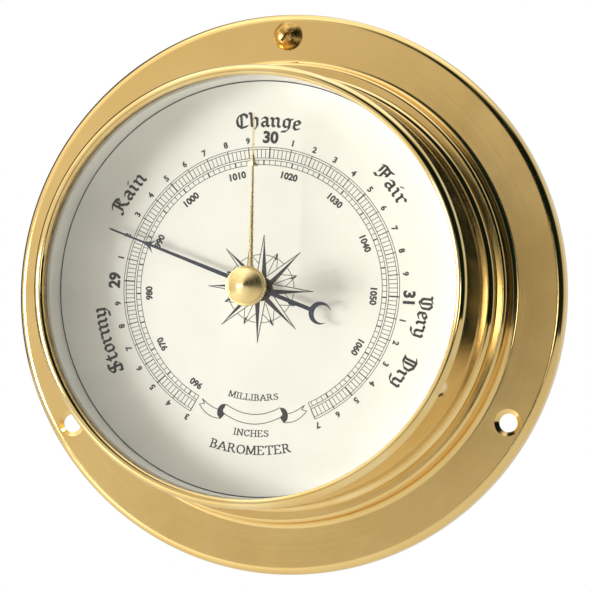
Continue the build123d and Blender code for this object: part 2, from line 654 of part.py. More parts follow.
# ---------------------------------------------------------------- vacuum capsule
def capsule_shell(rim_height, outward):
    """One corrugated disc of the capsule, pressed out from its rim towards or off the wall."""
    half = CAPSULE_T / 2
    shoulder = CAPSULE_R - CAPSULE_RIM_W
    ring = (shoulder - BOSS_R - CAPSULE_RIM_W) / (2 * CAPSULE_WAVES)
    outer = [(CAPSULE_R, 0), (shoulder, half - CAPSULE_WAVE)]
    for i in range(2 * CAPSULE_WAVES):
        dip = 0 if i % 2 else CAPSULE_WAVE
        outer.append((shoulder - (i + 0.5) * ring, half - dip))
    outer.append((BOSS_R, half))
    outer.append((0, half))
    inner = [(0, half - CAPSULE_SHELL)]
    for r, h in reversed(outer[2:-1]):
        inner.append((r, h - CAPSULE_SHELL))
    inner.append((shoulder - CAPSULE_SHELL, half - CAPSULE_WAVE - CAPSULE_SHELL))
    inner.append((CAPSULE_R - CAPSULE_SHELL * 1.6, 0))
    points = [(r, rim_height + outward * h) for r, h in outer + inner]
    with BuildSketch(section()) as profile:
        with BuildLine():
            Polyline(*points, close=True)
        make_face()
    revolve(profile.sketch, axis=spin())


with BuildPart() as capsule_rear:
    capsule_shell(CAPSULE_MID, -1)
    turned([(BOSS_R, BASE_TOP, CAPSULE_H), (STUD_R, BASE_H - NUT_T - STUD_PROUD, BASE_TOP)])
capsule_rear.part.label = "capsule_rear"
export_step(capsule_rear.part, "parts/capsule_rear.step")

with BuildPart() as capsule_front:
    capsule_shell(CAPSULE_MID, 1)
    turned([(BOSS_R, CAPSULE_TOP, CAPSULE_TOP + BOSS_T)])
capsule_front.part.label = "capsule_front"
export_step(capsule_front.part, "parts/capsule_front.step")

with BuildPart() as capsule_nut:
    with BuildSketch(front(BASE_H - NUT_T)):
        RegularPolygon(STUD_R * 1.9, 6, major_radius=False)
        Circle(STUD_R + RUN, mode=Mode.SUBTRACT)
    extrude(amount=NUT_T)
capsule_nut.part.label = "capsule_nut"
export_step(capsule_nut.part, "parts/capsule_nut.step")

# The post rises from the capsule through the mainspring, which holds it by a cross pin.
with BuildPart() as capsule_post:
    turned([(POST_R, CAPSULE_TOP + BOSS_T, POST_TOP)])
    with BuildSketch(Plane.XY.offset(-POST_PIN_HALF)):
        with Locations((0, -POST_PIN_H)):
            Circle(POST_PIN_R)
    extrude(amount=2 * POST_PIN_HALF)
capsule_post.part.label = "capsule_post"
export_step(capsule_post.part, "parts/capsule_post.step")

# ---------------------------------------------------------------- mainspring and its block
with BuildPart() as spring_block:
    with BuildSketch(front(BASE_TOP, BLOCK_X, 0)):
        Rectangle(BLOCK_W, SPRING_W)
        Circle(ADJUST_R + RUN, mode=Mode.SUBTRACT)
    extrude(amount=SPRING_LOW_H - BASE_TOP)
    turned([(CAPSULE_R + BLOCK_GAP, BASE_TOP, SPRING_LOW_H)], 0, 0, Mode.SUBTRACT)
    for z in CLAMP_Z:
        turned([(FRAME_SCREW_R + FIT, SPRING_LOW_H - CLAMP_HOLE_DEPTH, SPRING_LOW_H)], BLOCK_X, z,
               Mode.SUBTRACT)
spring_block.part.label = "spring_block"
export_step(spring_block.part, "parts/spring_block.step")

with BuildPart() as mainspring:
    start_x = BLOCK_X + BLOCK_W / 2
    end_x = POST_R + SPRING_END
    bend_h = SPRING_LOW_H + SPRING_T + SPRING_BEND_R
    outer_r = SPRING_BEND_R + SPRING_T
    with BuildSketch(across(SPRING_W / 2)):
        with BuildLine():
            Line((start_x, SPRING_LOW_H), (SPRING_BEND_X, SPRING_LOW_H))
            ThreePointArc((SPRING_BEND_X, SPRING_LOW_H), (SPRING_BEND_X - outer_r, bend_h),
                          (SPRING_BEND_X, LEVER_H))
            Polyline((SPRING_BEND_X, LEVER_H), (end_x, LEVER_H), (end_x, SPRING_TOP_H),
                     (SPRING_BEND_X, SPRING_TOP_H))
            ThreePointArc((SPRING_BEND_X, SPRING_TOP_H), (SPRING_BEND_X - SPRING_BEND_R, bend_h),
                          (SPRING_BEND_X, SPRING_LOW_H + SPRING_T))
            Polyline((SPRING_BEND_X, SPRING_LOW_H + SPRING_T), (start_x, SPRING_LOW_H + SPRING_T),
                     (start_x, SPRING_LOW_H))
        make_face()
    extrude(amount=SPRING_W)
    turned([(POST_R + GAP, SPRING_TOP_H, LEVER_H)], 0, 0, Mode.SUBTRACT)
    for z in CLAMP_Z:
        turned([(FRAME_SCREW_R + FIT, SPRING_LOW_H, SPRING_LOW_H + SPRING_T)], BLOCK_X, z, Mode.SUBTRACT)
    for x in RIVETS_X:
        turned([(FRAME_SCREW_R + FIT, SPRING_TOP_H, LEVER_H)], x, 0, Mode.SUBTRACT)
mainspring.part.label = "mainspring"
export_step(mainspring.part, "parts/mainspring.step")

with BuildPart() as spring_screws:
    for z in CLAMP_Z:
        turned([(FRAME_SCREW_R, SPRING_HEAD_H - CLAMP_SCREW_LENGTH, SPRING_HEAD_H),
                (FRAME_SCREW_HEAD_R, SPRING_HEAD_H, SPRING_HEAD_H + FRAME_SCREW_HEAD_T)], BLOCK_X, z)
        slot_cut(2 * FRAME_SCREW_HEAD_R + 1, FRAME_SLOT_W, FRAME_SLOT_DEPTH,
                 SPRING_HEAD_H + FRAME_SCREW_HEAD_T, BLOCK_X, z)
spring_screws.part.label = "spring_screws"
export_step(spring_screws.part, "parts/spring_screws.step")

# ---------------------------------------------------------------- adjusting screw, reached from behind
with BuildPart() as adjusting_screw:
    head_h = BASE_H - ADJUST_STAND - ADJUST_HEAD_T
    turned([(ADJUST_HEAD_R, head_h, head_h + ADJUST_HEAD_T),
            (ADJUST_R, head_h + ADJUST_HEAD_T, ADJUST_TIP_H)], BLOCK_X, 0)
    with BuildSketch(front(head_h, BLOCK_X, 0)) as slot:
        Rectangle(2 * ADJUST_HEAD_R + 1, ADJUST_SLOT_W)
    extrude(slot.sketch, amount=ADJUST_SLOT_DEPTH, mode=Mode.SUBTRACT)
adjusting_screw.part.label = "adjusting_screw"
export_step(adjusting_screw.part, "parts/adjusting_screw.step")

# ---------------------------------------------------------------- main lever and its link
with BuildPart() as main_lever:
    with BuildSketch(front(LEVER_H)):
        with BuildLine():
            wide_x, narrow_x = LEVER_TIP_X - LEVER_TAPER[0], LEVER_TIP_X - LEVER_TAPER[1]
            nose_x = LEVER_TIP_X + LEVER_NOSE
            Polyline((LEVER_START_X, LEVER_W / 2), (wide_x, LEVER_W / 2), (narrow_x, LEVER_NECK_HALF),
                     (nose_x, LEVER_NECK_HALF), (nose_x, -LEVER_NECK_HALF), (narrow_x, -LEVER_NECK_HALF),
                     (wide_x, -LEVER_W / 2), (LEVER_START_X, -LEVER_W / 2), close=True)
        make_face()
        Circle(LEVER_EYE_R + LEVER_EYE_WALL)
        Circle(LEVER_EYE_R, mode=Mode.SUBTRACT)
        for x in RIVETS_X:
            with Locations((x, 0)):
                Circle(FRAME_SCREW_R, mode=Mode.SUBTRACT)
    extrude(amount=LEVER_T)
main_lever.part.label = "main_lever"
export_step(main_lever.part, "parts/main_lever.step")

with BuildPart() as lever_rivets:
    for x in RIVETS_X:
        turned([(RIVET_HEAD_R, SPRING_TOP_H - RIVET_FOOT_T, SPRING_TOP_H),
                (FRAME_SCREW_R, SPRING_TOP_H, LEVER_TOP),
                (RIVET_HEAD_R, LEVER_TOP, LEVER_TOP + RIVET_HEAD_T)], x, 0)
lever_rivets.part.label = "lever_rivets"
export_step(lever_rivets.part, "parts/lever_rivets.step")

with BuildPart() as link:
    with BuildSketch(across(LINK_Z)):
        with Locations((LEVER_TIP_X, (ROCKER_H + LEVER_TOP) / 2)):
            SlotCenterToCenter(LEVER_TOP - ROCKER_H - LEVER_T, LINK_W, rotation=90)
    extrude(amount=LINK_T)
    with BuildSketch(across(LINK_Z - LINK_T)):
        with Locations((LEVER_TIP_X, ROCKER_H)):
            Circle(LINK_PIN_R)
    extrude(amount=LINK_PIN_LENGTH)
link.part.label = "link"
export_step(link.part, "parts/link.step")

# ---------------------------------------------------------------- rocking shaft
with BuildPart() as rocking_shaft:
    for radius, half in ((ROCKER_R, ROCKER_HALF), (PIVOT_R, ROCKER_HALF + PIVOT_REACH)):
        with BuildSketch(across(half)):
            with Locations((ROCKER_X, ROCKER_H)):
                Circle(radius)
        extrude(amount=2 * half)
rocking_shaft.part.label = "rocking_shaft"
export_step(rocking_shaft.part, "parts/rocking_shaft.step")

with BuildPart() as short_arm:
    with BuildSketch(across(ARM_T / 2)):
        with Locations((ROCKER_X, ROCKER_H)):
            Circle(2 * ROCKER_R)
        with Locations((LEVER_TIP_X, ROCKER_H)):
            Circle(LINK_PIN_R + EYE_PLAY + EYE_WALL)
        make_hull()
        with Locations((LEVER_TIP_X, ROCKER_H)):
            Circle(LINK_PIN_R + EYE_PLAY, mode=Mode.SUBTRACT)
        with Locations((ROCKER_X, ROCKER_H)):
            Circle(ROCKER_R, mode=Mode.SUBTRACT)
    extrude(amount=ARM_T)
short_arm.part.label = "short_arm"
export_step(short_arm.part, "parts/short_arm.step")

with BuildPart() as long_arm:
    with BuildSketch(across(TAIL_R + ARM_T / 2)):
        with Locations((ROCKER_X, ROCKER_H)):
            Circle(2 * ROCKER_R)
        with Locations((ARM_X + ARM_T / 2, (ROCKER_H + CONTACT_H + ARM_CAP) / 2)):
            Rectangle(ARM_T, CONTACT_H + ARM_CAP - ROCKER_H)
        with Locations((ROCKER_X, ROCKER_H)):
            Circle(ROCKER_R, mode=Mode.SUBTRACT)
    extrude(amount=ARM_T)
long_arm.part.label = "long_arm"
export_step(long_arm.part, "parts/long_arm.step")

# The shaft turns on thin end pivots held in two screws, one in each post.
with BuildPart() as rocker_posts:
    post_top = ROCKER_H + 2 * PIVOT_SCREW_R + POST_CAP
    for z in (ROCKER_POST_Z, -ROCKER_POST_Z):
        with BuildSketch(across(z + ROCKER_POST_T / 2)):
            with Locations((ROCKER_X, (BASE_TOP + post_top) / 2)):
                Rectangle(ROCKER_POST_W, post_top - BASE_TOP)
            with Locations((ROCKER_X, ROCKER_H)):
                Circle(PIVOT_SCREW_R + FIT, mode=Mode.SUBTRACT)
        extrude(amount=ROCKER_POST_T)
        turned([(FRAME_SCREW_R + FIT, BASE_TOP, BASE_TOP + POST_HOLE_DEPTH)], ROCKER_X, z, Mode.SUBTRACT)
rocker_posts.part.label = "rocker_posts"
export_step(rocker_posts.part, "parts/rocker_posts.step")

with BuildPart() as rocker_post_screws:
    for z in (ROCKER_POST_Z, -ROCKER_POST_Z):
        turned([(FRAME_SCREW_HEAD_R, BASE_H - FRAME_SCREW_HEAD_T, BASE_H),
                (FRAME_SCREW_R, BASE_H, BASE_TOP + POST_SCREW_REACH)], ROCKER_X, z)
rocker_post_screws.part.label = "rocker_post_screws"
export_step(rocker_post_screws.part, "parts/rocker_post_screws.step")

with BuildPart() as pivot_screws:
    inner_z = ROCKER_HALF + ROCKER_SHAKE
    outer_z = ROCKER_POST_Z + ROCKER_POST_T / 2 + PIVOT_SCREW_PROUD
    for top_z in (outer_z, -inner_z):
        with BuildSketch(across(top_z)):
            with Locations((ROCKER_X, ROCKER_H)):
                Circle(PIVOT_SCREW_R)
        extrude(amount=outer_z - inner_z)
    with BuildSketch(across(ROCKER_HALF + PIVOT_DEPTH)):
        with Locations((ROCKER_X, ROCKER_H)):
            Circle(PIVOT_R + RUN)
    extrude(amount=2 * (ROCKER_HALF + PIVOT_DEPTH), mode=Mode.SUBTRACT)
    for top_z in (outer_z, -outer_z + FRAME_SLOT_W):
        with BuildSketch(across(top_z)) as slot:
            with Locations((ROCKER_X, ROCKER_H)):
                Rectangle(3 * PIVOT_SCREW_R, FRAME_SLOT_W)
        extrude(slot.sketch, amount=FRAME_SLOT_W, mode=Mode.SUBTRACT)
pivot_screws.part.label = "pivot_screws"
export_step(pivot_screws.part, "parts/pivot_screws.step")

# ---------------------------------------------------------------- sector and pinion
def tooth_corners(pitch_radius, angle):
    """A tooth of the module above: its sides slope in towards its tip."""
    root = (HALF_TOOTH + ROOT_FLARE) / pitch_radius * 180 / pi
    tip = (HALF_TOOTH - TIP_TAPER) / pitch_radius * 180 / pi
    return tooth(pitch_radius, angle, root, tip, DEDENDUM, ADDENDUM)


with BuildPart() as sector_gear:
    step = 360 / SECTOR_TEETH
    with BuildSketch(front(SECTOR_H, SECTOR_X, 0)):
        with BuildLine():
            edge = []
            for i in range(round((SECTOR_HIGH - SECTOR_LOW) / step)):
                edge = edge + tooth_corners(SECTOR_R, SECTOR_LOW + (i + 0.5) * step)
            Polyline(*edge)
            low, middle, high = [(SECTOR_RIM_IN * cos(radians(a)), SECTOR_RIM_IN * sin(radians(a)))
                                 for a in (SECTOR_LOW, (SECTOR_LOW + SECTOR_HIGH) / 2, SECTOR_HIGH)]
            Line(edge[-1], high)
            ThreePointArc(high, middle, low)
            Line(low, edge[0])
        make_face()
        spoke_length = SECTOR_RIM_IN + 1
        for spoke in (SECTOR_LOW + SPOKE_IN, SECTOR_HIGH - SPOKE_IN):
            a = radians(spoke)
            with Locations((spoke_length / 2 * cos(a), spoke_length / 2 * sin(a))):
                Rectangle(spoke_length, SPOKE_W, rotation=spoke)
        with Locations((0, (TAIL_R - COUNTERWEIGHT_AT) / 2)):
            SlotCenterToCenter(TAIL_R + COUNTERWEIGHT_AT, 2 * TAIL_PIN_R + TAIL_WALL, rotation=90)
        Circle(SECTOR_HUB_R)
        Circle(ARBOR_R, mode=Mode.SUBTRACT)
        with Locations((0, TAIL_R)):
            Circle(TAIL_PIN_R, mode=Mode.SUBTRACT)
    extrude(amount=SECTOR_T)
sector_gear.part.label = "sector_gear"
export_step(sector_gear.part, "parts/sector_gear.step")

with BuildPart() as sector_arbor:
    turned([(PIVOT_R, BRIDGE_H + PIVOT_SHORT, TOP_FRONT - PIVOT_SHORT),
            (ARBOR_R, BRIDGE_TOP + ARBOR_SHAKE, TOP_H - ARBOR_SHAKE)], SECTOR_X)
sector_arbor.part.label = "sector_arbor"
export_step(sector_arbor.part, "parts/sector_arbor.step")

with BuildPart() as tail_pin:
    turned([(TAIL_PIN_R, CONTACT_H - TAIL_PIN_REACH, SECTOR_H + SECTOR_T)], SECTOR_X, TAIL_R)
tail_pin.part.label = "tail_pin"
export_step(tail_pin.part, "parts/tail_pin.step")

with BuildPart() as counterweight:
    turned([(COUNTERWEIGHT_R, SECTOR_H - COUNTERWEIGHT_T, SECTOR_H)], SECTOR_X, -COUNTERWEIGHT_AT)
counterweight.part.label = "counterweight"
export_step(counterweight.part, "parts/counterweight.step")

with BuildPart() as hand_pinion:
    with BuildSketch(front(SECTOR_H - PINION_OVERHANG)):
        with BuildLine():
            ring = []
            for i in range(PINION_TEETH):
                ring = ring + tooth_corners(PINION_R, i * 360 / PINION_TEETH)
            Polyline(*ring, close=True)
        make_face()
        Circle(HAND_ARBOR_R, mode=Mode.SUBTRACT)
    extrude(amount=SECTOR_T + 2 * PINION_OVERHANG)
hand_pinion.part.label = "hand_pinion"
export_step(hand_pinion.part, "parts/hand_pinion.step")

with BuildPart() as hand_arbor:
    turned([(PIVOT_R, BRIDGE_H + PIVOT_SHORT, BRIDGE_TOP + ARBOR_SHAKE),
            (HAND_ARBOR_R, BRIDGE_TOP + ARBOR_SHAKE, COLLET_TOP)])
hand_arbor.part.label = "hand_arbor"
export_step(hand_arbor.part, "parts/hand_arbor.step")

# ---------------------------------------------------------------- hairspring
with BuildPart() as hairspring_collet:
    turned([(COLLET_R, HAIRSPRING_LOW, HAIRSPRING_LOW + COLLET_T)])
    turned([(HAND_ARBOR_R, HAIRSPRING_LOW, HAIRSPRING_LOW + COLLET_T)], mode=Mode.SUBTRACT)
hairspring_collet.part.label = "hairspring_collet"
export_step(hairspring_collet.part, "parts/hairspring_collet.step")

with BuildPart() as hairspring:
    with BuildSketch(front(HAIRSPRING_H)):
        with BuildLine() as coil:
            for i in range(2 * HAIRSPRING_TURNS):
                here = HAIRSPRING_START + i * HAIRSPRING_PITCH / 2
                side = -1 if i % 2 else 1
                CenterArc((-side * HAIRSPRING_PITCH / 4, 0), here + HAIRSPRING_PITCH / 4,
                          0 if side > 0 else 180, 180)
        trace(line_width=HAIRSPRING_W)
    extrude(amount=HAIRSPRING_STRIP)
hairspring.part.label = "hairspring"
export_step(hairspring.part, "parts/hairspring.step")

with BuildPart() as hairspring_stud:
    turned([(SPRING_STUD_R, BRIDGE_TOP, HAIRSPRING_H + SPRING_STUD_R)],
           HAIRSPRING_END + HAIRSPRING_W / 2 + SPRING_STUD_R)
hairspring_stud.part.label = "hairspring_stud"
export_step(hairspring_stud.part, "parts/hairspring_stud.step")

# ---------------------------------------------------------------- indicator hand
with BuildPart() as hand_collet:
    collet_h = DIAL_H + COLLET_LOW
    turned([(HAND_COLLET_R, collet_h, HAND_H), (HAND_NECK_R, HAND_H, COLLET_TOP)])
    turned([(HAND_ARBOR_R, collet_h, COLLET_TOP)], mode=Mode.SUBTRACT)
hand_collet.part.label = "hand_collet"
export_step(hand_collet.part, "parts/hand_collet.step")

with BuildPart() as indicator_hand:
    at_hub, at_head, at_tip = SHAFT_HALF
    waist = HAND_HEAD - 2.6
    with BuildSketch(front(HAND_H, turn=HAND_ANGLE)):
        with BuildLine():
            Polyline((-at_hub, 0), (-at_head, waist), (-at_tip, HAND_HEAD - 1), (-at_tip, HAND_TIP),
                     (at_tip, HAND_TIP), (at_tip, HAND_HEAD - 1), (at_head, waist), (at_hub, 0), close=True)
        make_face()
        # the barbed head: an arrow with hollow flanks and swept-back barbs
        with BuildLine():
            for side in (-1, 1):
                barb = (side * BARB_HALF, HAND_HEAD - BARB_BACK)
                ThreePointArc((0, HAND_HEAD), (side * 0.62, HAND_HEAD - 2.2), barb)
                ThreePointArc(barb, (side * 0.8, HAND_HEAD - 3.2), (0, waist))
        make_face()
        with BuildLine():
            moon_top = MOON_R - MOON_AT - 0.5
            Polyline((-at_hub, 0), (-TAIL_HALF, moon_top), (TAIL_HALF, moon_top), (at_hub, 0), close=True)
        make_face()
        with Locations((0, -MOON_AT)):
            Circle(MOON_R)
        with Locations((0, -MOON_AT - MOON_SHIFT)):
            Circle(MOON_BITE_R, mode=Mode.SUBTRACT)
        Circle(HAND_HUB_R)
        Circle(HAND_NECK_R, mode=Mode.SUBTRACT)
    extrude(amount=HAND_T)
indicator_hand.part.label = "indicator_hand"
export_step(indicator_hand.part, "parts/indicator_hand.step")

# ---------------------------------------------------------------- set hand and its knob
with BuildPart() as glass_bush:
    turned([(BUSH_R, BUSH_LOW, GLASS_FRONT), (BUSH_R + BUSH_HEAD_W, GLASS_FRONT, BUSH_TOP)])
    turned([(SPINDLE_R + RUN, BUSH_LOW, BUSH_TOP)], mode=Mode.SUBTRACT)
glass_bush.part.label = "glass_bush"
export_step(glass_bush.part, "parts/glass_bush.step")

with BuildPart() as bush_ring:
    turned([(BUSH_R + BUSH_RING_W, BUSH_LOW, NECK_H)])
    turned([(BUSH_R, BUSH_LOW, NECK_H)], mode=Mode.SUBTRACT)
bush_ring.part.label = "bush_ring"
export_step(bush_ring.part, "parts/bush_ring.step")

with BuildPart() as set_spindle:
    turned([(SPINDLE_R, SET_NUT_H, KNOB_H + KNOB_SOCKET)])
set_spindle.part.label = "set_spindle"
export_step(set_spindle.part, "parts/set_spindle.step")

with BuildPart() as set_hand:
    with BuildSketch(front(SET_HAND_H, turn=SET_HAND_ANGLE)):
        with BuildLine():
            at_hub, at_head, at_tip = SET_HALF
            head_top = SET_HEAD_BASE + SET_HEAD_LENGTH
            Polyline((-at_hub, 0), (-at_head, SET_HEAD_BASE), (-SET_HEAD_W / 2, SET_HEAD_BASE),
                     (-at_head, head_top), (-at_tip, SET_HAND_TIP), (at_tip, SET_HAND_TIP),
                     (at_head, head_top), (SET_HEAD_W / 2, SET_HEAD_BASE), (at_head, SET_HEAD_BASE),
                     (at_hub, 0), close=True)
        make_face()
        Circle(SET_HUB_R)
        Circle(SPINDLE_R, mode=Mode.SUBTRACT)
    extrude(amount=SET_HAND_T)
set_hand.part.label = "set_hand"
export_step(set_hand.part, "parts/set_hand.step")

with BuildPart() as set_hand_nut:
    with BuildSketch(front(SET_NUT_H)):
        RegularPolygon(SET_NUT_ACROSS / 2, 6, major_radius=False)
        Circle(SPINDLE_R, mode=Mode.SUBTRACT)
    extrude(amount=SET_NUT_T)
set_hand_nut.part.label = "set_hand_nut"
export_step(set_hand_nut.part, "parts/set_hand_nut.step")

with BuildPart() as friction_washer:
    turned([(BUSH_R + WASHER_W, WASHER_H, KNOB_H)])
    turned([(SPINDLE_R, WASHER_H, KNOB_H)], mode=Mode.SUBTRACT)
friction_washer.part.label = "friction_washer"
export_step(friction_washer.part, "parts/friction_washer.step")

with BuildPart() as set_knob:
    with BuildSketch(section()):
        with BuildLine():
            socket_top = KNOB_H + KNOB_SOCKET
            Polyline((0, socket_top), (SPINDLE_R, socket_top), (SPINDLE_R, KNOB_H), (KNOB_R, KNOB_H),
                     (KNOB_R, KNOB_RIM), (KNOB_R - KNOB_CONE_INSET, KNOB_RIM + KNOB_BEVEL),
                     (0, KNOB_RIM + KNOB_BEVEL + KNOB_CONE), close=True)
        make_face()
    revolve(axis=spin())
    with BuildSketch(front(KNOB_H)):
        with PolarLocations(KNOB_R, KNOB_FLUTES):
            Circle(FLUTE_R)
    extrude(amount=KNOB_SIDE + KNOB_BEVEL, mode=Mode.SUBTRACT)
set_knob.part.label = "set_knob"
export_step(set_knob.part, "parts/set_knob.step")
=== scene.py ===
"""Ship barometer: the looks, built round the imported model.

Sizes are millimetres and become metres as each mesh is made. A "height" is a distance from
the wall towards the viewer, so a point at height h lies at Y = -h. Clock angles are degrees
clockwise from the top, as the viewer sees them.
"""
import json
from math import acos, asin, ceil, cos, degrees, pi, radians, sin, tan

import bmesh
import bpy
from mathutils import Matrix, Vector
from mathutils.geometry import convex_hull_2d


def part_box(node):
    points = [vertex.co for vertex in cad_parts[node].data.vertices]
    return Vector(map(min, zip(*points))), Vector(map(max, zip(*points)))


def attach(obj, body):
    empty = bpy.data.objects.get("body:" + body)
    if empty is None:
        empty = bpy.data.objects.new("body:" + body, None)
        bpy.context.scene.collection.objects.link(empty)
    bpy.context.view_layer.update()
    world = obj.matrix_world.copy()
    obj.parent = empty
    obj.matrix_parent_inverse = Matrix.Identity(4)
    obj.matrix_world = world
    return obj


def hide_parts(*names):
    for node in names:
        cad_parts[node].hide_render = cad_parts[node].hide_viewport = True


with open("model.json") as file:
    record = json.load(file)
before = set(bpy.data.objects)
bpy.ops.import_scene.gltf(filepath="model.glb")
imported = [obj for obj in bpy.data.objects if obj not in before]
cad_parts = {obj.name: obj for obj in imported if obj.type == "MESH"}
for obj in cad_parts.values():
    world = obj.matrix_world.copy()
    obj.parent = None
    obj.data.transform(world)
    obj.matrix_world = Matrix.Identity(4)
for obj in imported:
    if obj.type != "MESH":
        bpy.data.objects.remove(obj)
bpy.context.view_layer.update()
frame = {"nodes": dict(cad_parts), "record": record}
nodes = frame["nodes"]
MM = 0.001


def edge(node, side, axis):
    """One side of a CAD node's box in millimetres: side 0 is its low end and 1 its high end."""
    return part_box(node)[side][axis] / MM


# ---------------------------------------------------------------- sizes
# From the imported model
FLANGE_R = edge("wall_flange", 1, 0)
LEDGE_H = -edge("wall_flange", 0, 1)
BEZEL_H = -edge("bezel", 0, 1)
BEZEL_FOOT = -edge("bezel", 1, 1)
NECK_R = edge("glass", 1, 0)
DIAL_H = -edge("dial", 0, 1)
GLASS_FRONT = -edge("glass", 0, 1)
HAND_LOW = -edge("indicator_hand", 1, 1)
HAND_HIGH = -edge("indicator_hand", 0, 1)
SET_HAND_LOW = -edge("set_hand", 1, 1)
SET_HAND_HIGH = -edge("set_hand", 0, 1)
KNOB_H = -edge("set_knob", 1, 1)
KNOB_TOP = -edge("set_knob", 0, 1)
KNOB_R = edge("set_knob", 1, 0)
SCREW_TIP_H = -edge("mounting_screw", 1, 1)
SCREW_TOP_H = -edge("mounting_screw", 0, 1)
SCREW_HEAD_R = edge("mounting_screw", 1, 0)
HOLE_CIRCLE_R = edge("mounting_screw", 1, 2) - SCREW_HEAD_R

# Sections of the spun brass, the same as the CAD's
FLANGE_H = 5.0
FLANGE_RISE = 0.4
RIM_R = 2.2
SHEET = 1.3
BARREL_R = 61.9
SHOULDER_R = 1.0
COVE_R = 1.8
SEAT_R = 60.25
LEDGE_UNDER = BEZEL_FOOT - SHEET
BEZEL_R = 58.1
BEZEL_WALL = 1.1
BEZEL_LIP_R = 55.4
BEZEL_BEAD_R = 1.2
BEZEL_BEAD_OUT = 1.0
BEAD_LIFT = 0.7
LIP_OUTER_ROUND = 1.7
LIP_INNER_ROUND = 0.9
LIP_UNDER = GLASS_FRONT + 0.4
LUG_W = 9.0
LUG_DEPTH = 7.0
LUG_LOW = 2.6
LUG_HIGH = 8.0
LUG_ANGLES = (60, 180, 300)
LUG_BORE_R = 1.33
LUG_BORE_TOP = 7.4
HOLE_COUNT = 3
HOLE_R = 2.5
HOLE_SINK_R = 3.7
SINK_ANGLE = 120
CUTTER_TOP = 8  # clear of the flange's face

# The dial's print
DIAL_TURN = 3.74  # the whole dial sits this far clockwise
SCALE_R = 37.07  # radius that the print's other radii are shares of
DEG_PER_INCH = 90.0
MILLIBARS_PER_INCH = 33.8639
PRINT_THICK = 0.03
PRINT_SUNK = 0.02
LINE_W = 0.16
BOLD_W = 0.36

# Hands
READING = 29.2
HAND_ANGLE = DIAL_TURN + (READING - 30) * DEG_PER_INCH
HAND_TIP = 44.1
HAND_HEAD = 34.2
MOON_AT = 18.0
MOON_R = 3.0
MOON_BITE_R = 2.4
MOON_SHIFT = 0.76
SET_HAND_ANGLE = 1.15
SET_HAND_TIP = 45.6
SET_HEAD_BASE = 31.6
SET_HUB_R = 2.6
SPINDLE_R = 1.5

FINE = 288  # steps round a large spun piece


# ---------------------------------------------------------------- points and outlines
def clock(radius, angle):
    """A point on a clock face: x to the right, y up."""
    return (radius * sin(radians(angle)), radius * cos(radians(angle)))


def arc(centre, radius, start, end, steps=12):
    """Points along an arc, with angles in degrees counter-clockwise from the x axis."""
    points = []
    for i in range(steps + 1):
        a = radians(start + (end - start) * i / steps)
        points.append((centre[0] + radius * cos(a), centre[1] + radius * sin(a)))
    return points


def bow(start, middle, end, steps=8):
    """A curve from start to end that leans towards middle."""
    points = []
    for i in range(steps + 1):
        t = i / steps
        points.append(tuple((1 - t) ** 2 * s + 2 * t * (1 - t) * m + t ** 2 * e
                            for s, m, e in zip(start, middle, end)))
    return points


def facing(height, angle=0.0, x=0.0, z=0.0):
    """Matrix for a flat drawing in millimetres: its x is the viewer's right and its y is up,
    turned clockwise by the angle, and its z comes towards the viewer."""
    a = radians(angle)
    turned = Matrix(((cos(a), sin(a), 0, x), (0, 0, -1, -height), (-sin(a), cos(a), 0, z), (0, 0, 0, 1)))
    return Matrix.Scale(MM, 4) @ turned


ON_DIAL = facing(DIAL_H, DIAL_TURN)


def rectangle(width, height):
    return [(-width / 2, -height / 2), (width / 2, -height / 2), (width / 2, height / 2),
            (-width / 2, height / 2)]


# ---------------------------------------------------------------- meshes
def prism(bm, outline, low, high, matrix):
    """A closed solid: a flat outline given a thickness."""
    tops = [bm.verts.new(matrix @ Vector((p[0], p[1], high))) for p in outline]
    feet = [bm.verts.new(matrix @ Vector((p[0], p[1], low))) for p in outline]
    bm.faces.new(tops)
    bm.faces.new(feet[::-1])
    for i in range(len(outline)):
        j = (i + 1) % len(outline)
        bm.faces.new((feet[i], feet[j], tops[j], tops[i]))


def turn_outline(bm, outline, matrix, steps=FINE, wobble=None):
    """Spins an outline of (radius, height) points about the drawing's own z axis."""
    closed = outline[0][0] > 0
    rings = []
    for radius, height in outline:
        if radius <= 0:
            rings.append([bm.verts.new(matrix @ Vector((0, 0, height)))] * steps)
            continue
        ring = []
        for i in range(steps):
            a = 2 * pi * i / steps
            r = radius + (wobble(radius, height, a) if wobble else 0)
            ring.append(bm.verts.new(matrix @ Vector((r * sin(a), r * cos(a), height))))
        rings.append(ring)
    pairs = list(zip(rings, rings[1:] + rings[:1])) if closed else list(zip(rings, rings[1:]))
    for one, two in pairs:
        for i in range(steps):
            j = (i + 1) % steps
            corners = []
            for corner in (one[i], one[j], two[j], two[i]):
                if corner not in corners:
                    corners.append(corner)
            if len(corners) > 2:
                bm.faces.new(corners)


def soften(mesh, angle=30):
    mesh.shade_smooth()
    mesh.set_sharp_from_angle(angle=radians(angle))


def piece(name, bm, finish, body="case", replaces=(), angle=30):
    """Makes an object of the mesh, gives it its finish and lets it ride on a body."""
    bmesh.ops.recalc_face_normals(bm, faces=bm.faces)
    mesh = bpy.data.meshes.new(name)
    bm.to_mesh(mesh)
    bm.free()
    soften(mesh, angle)
    mesh.materials.append(finish)
    obj = bpy.data.objects.new(name, mesh)
    bpy.context.scene.collection.objects.link(obj)
    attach(obj, body)
    if replaces:
        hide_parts(*replaces)
    return obj


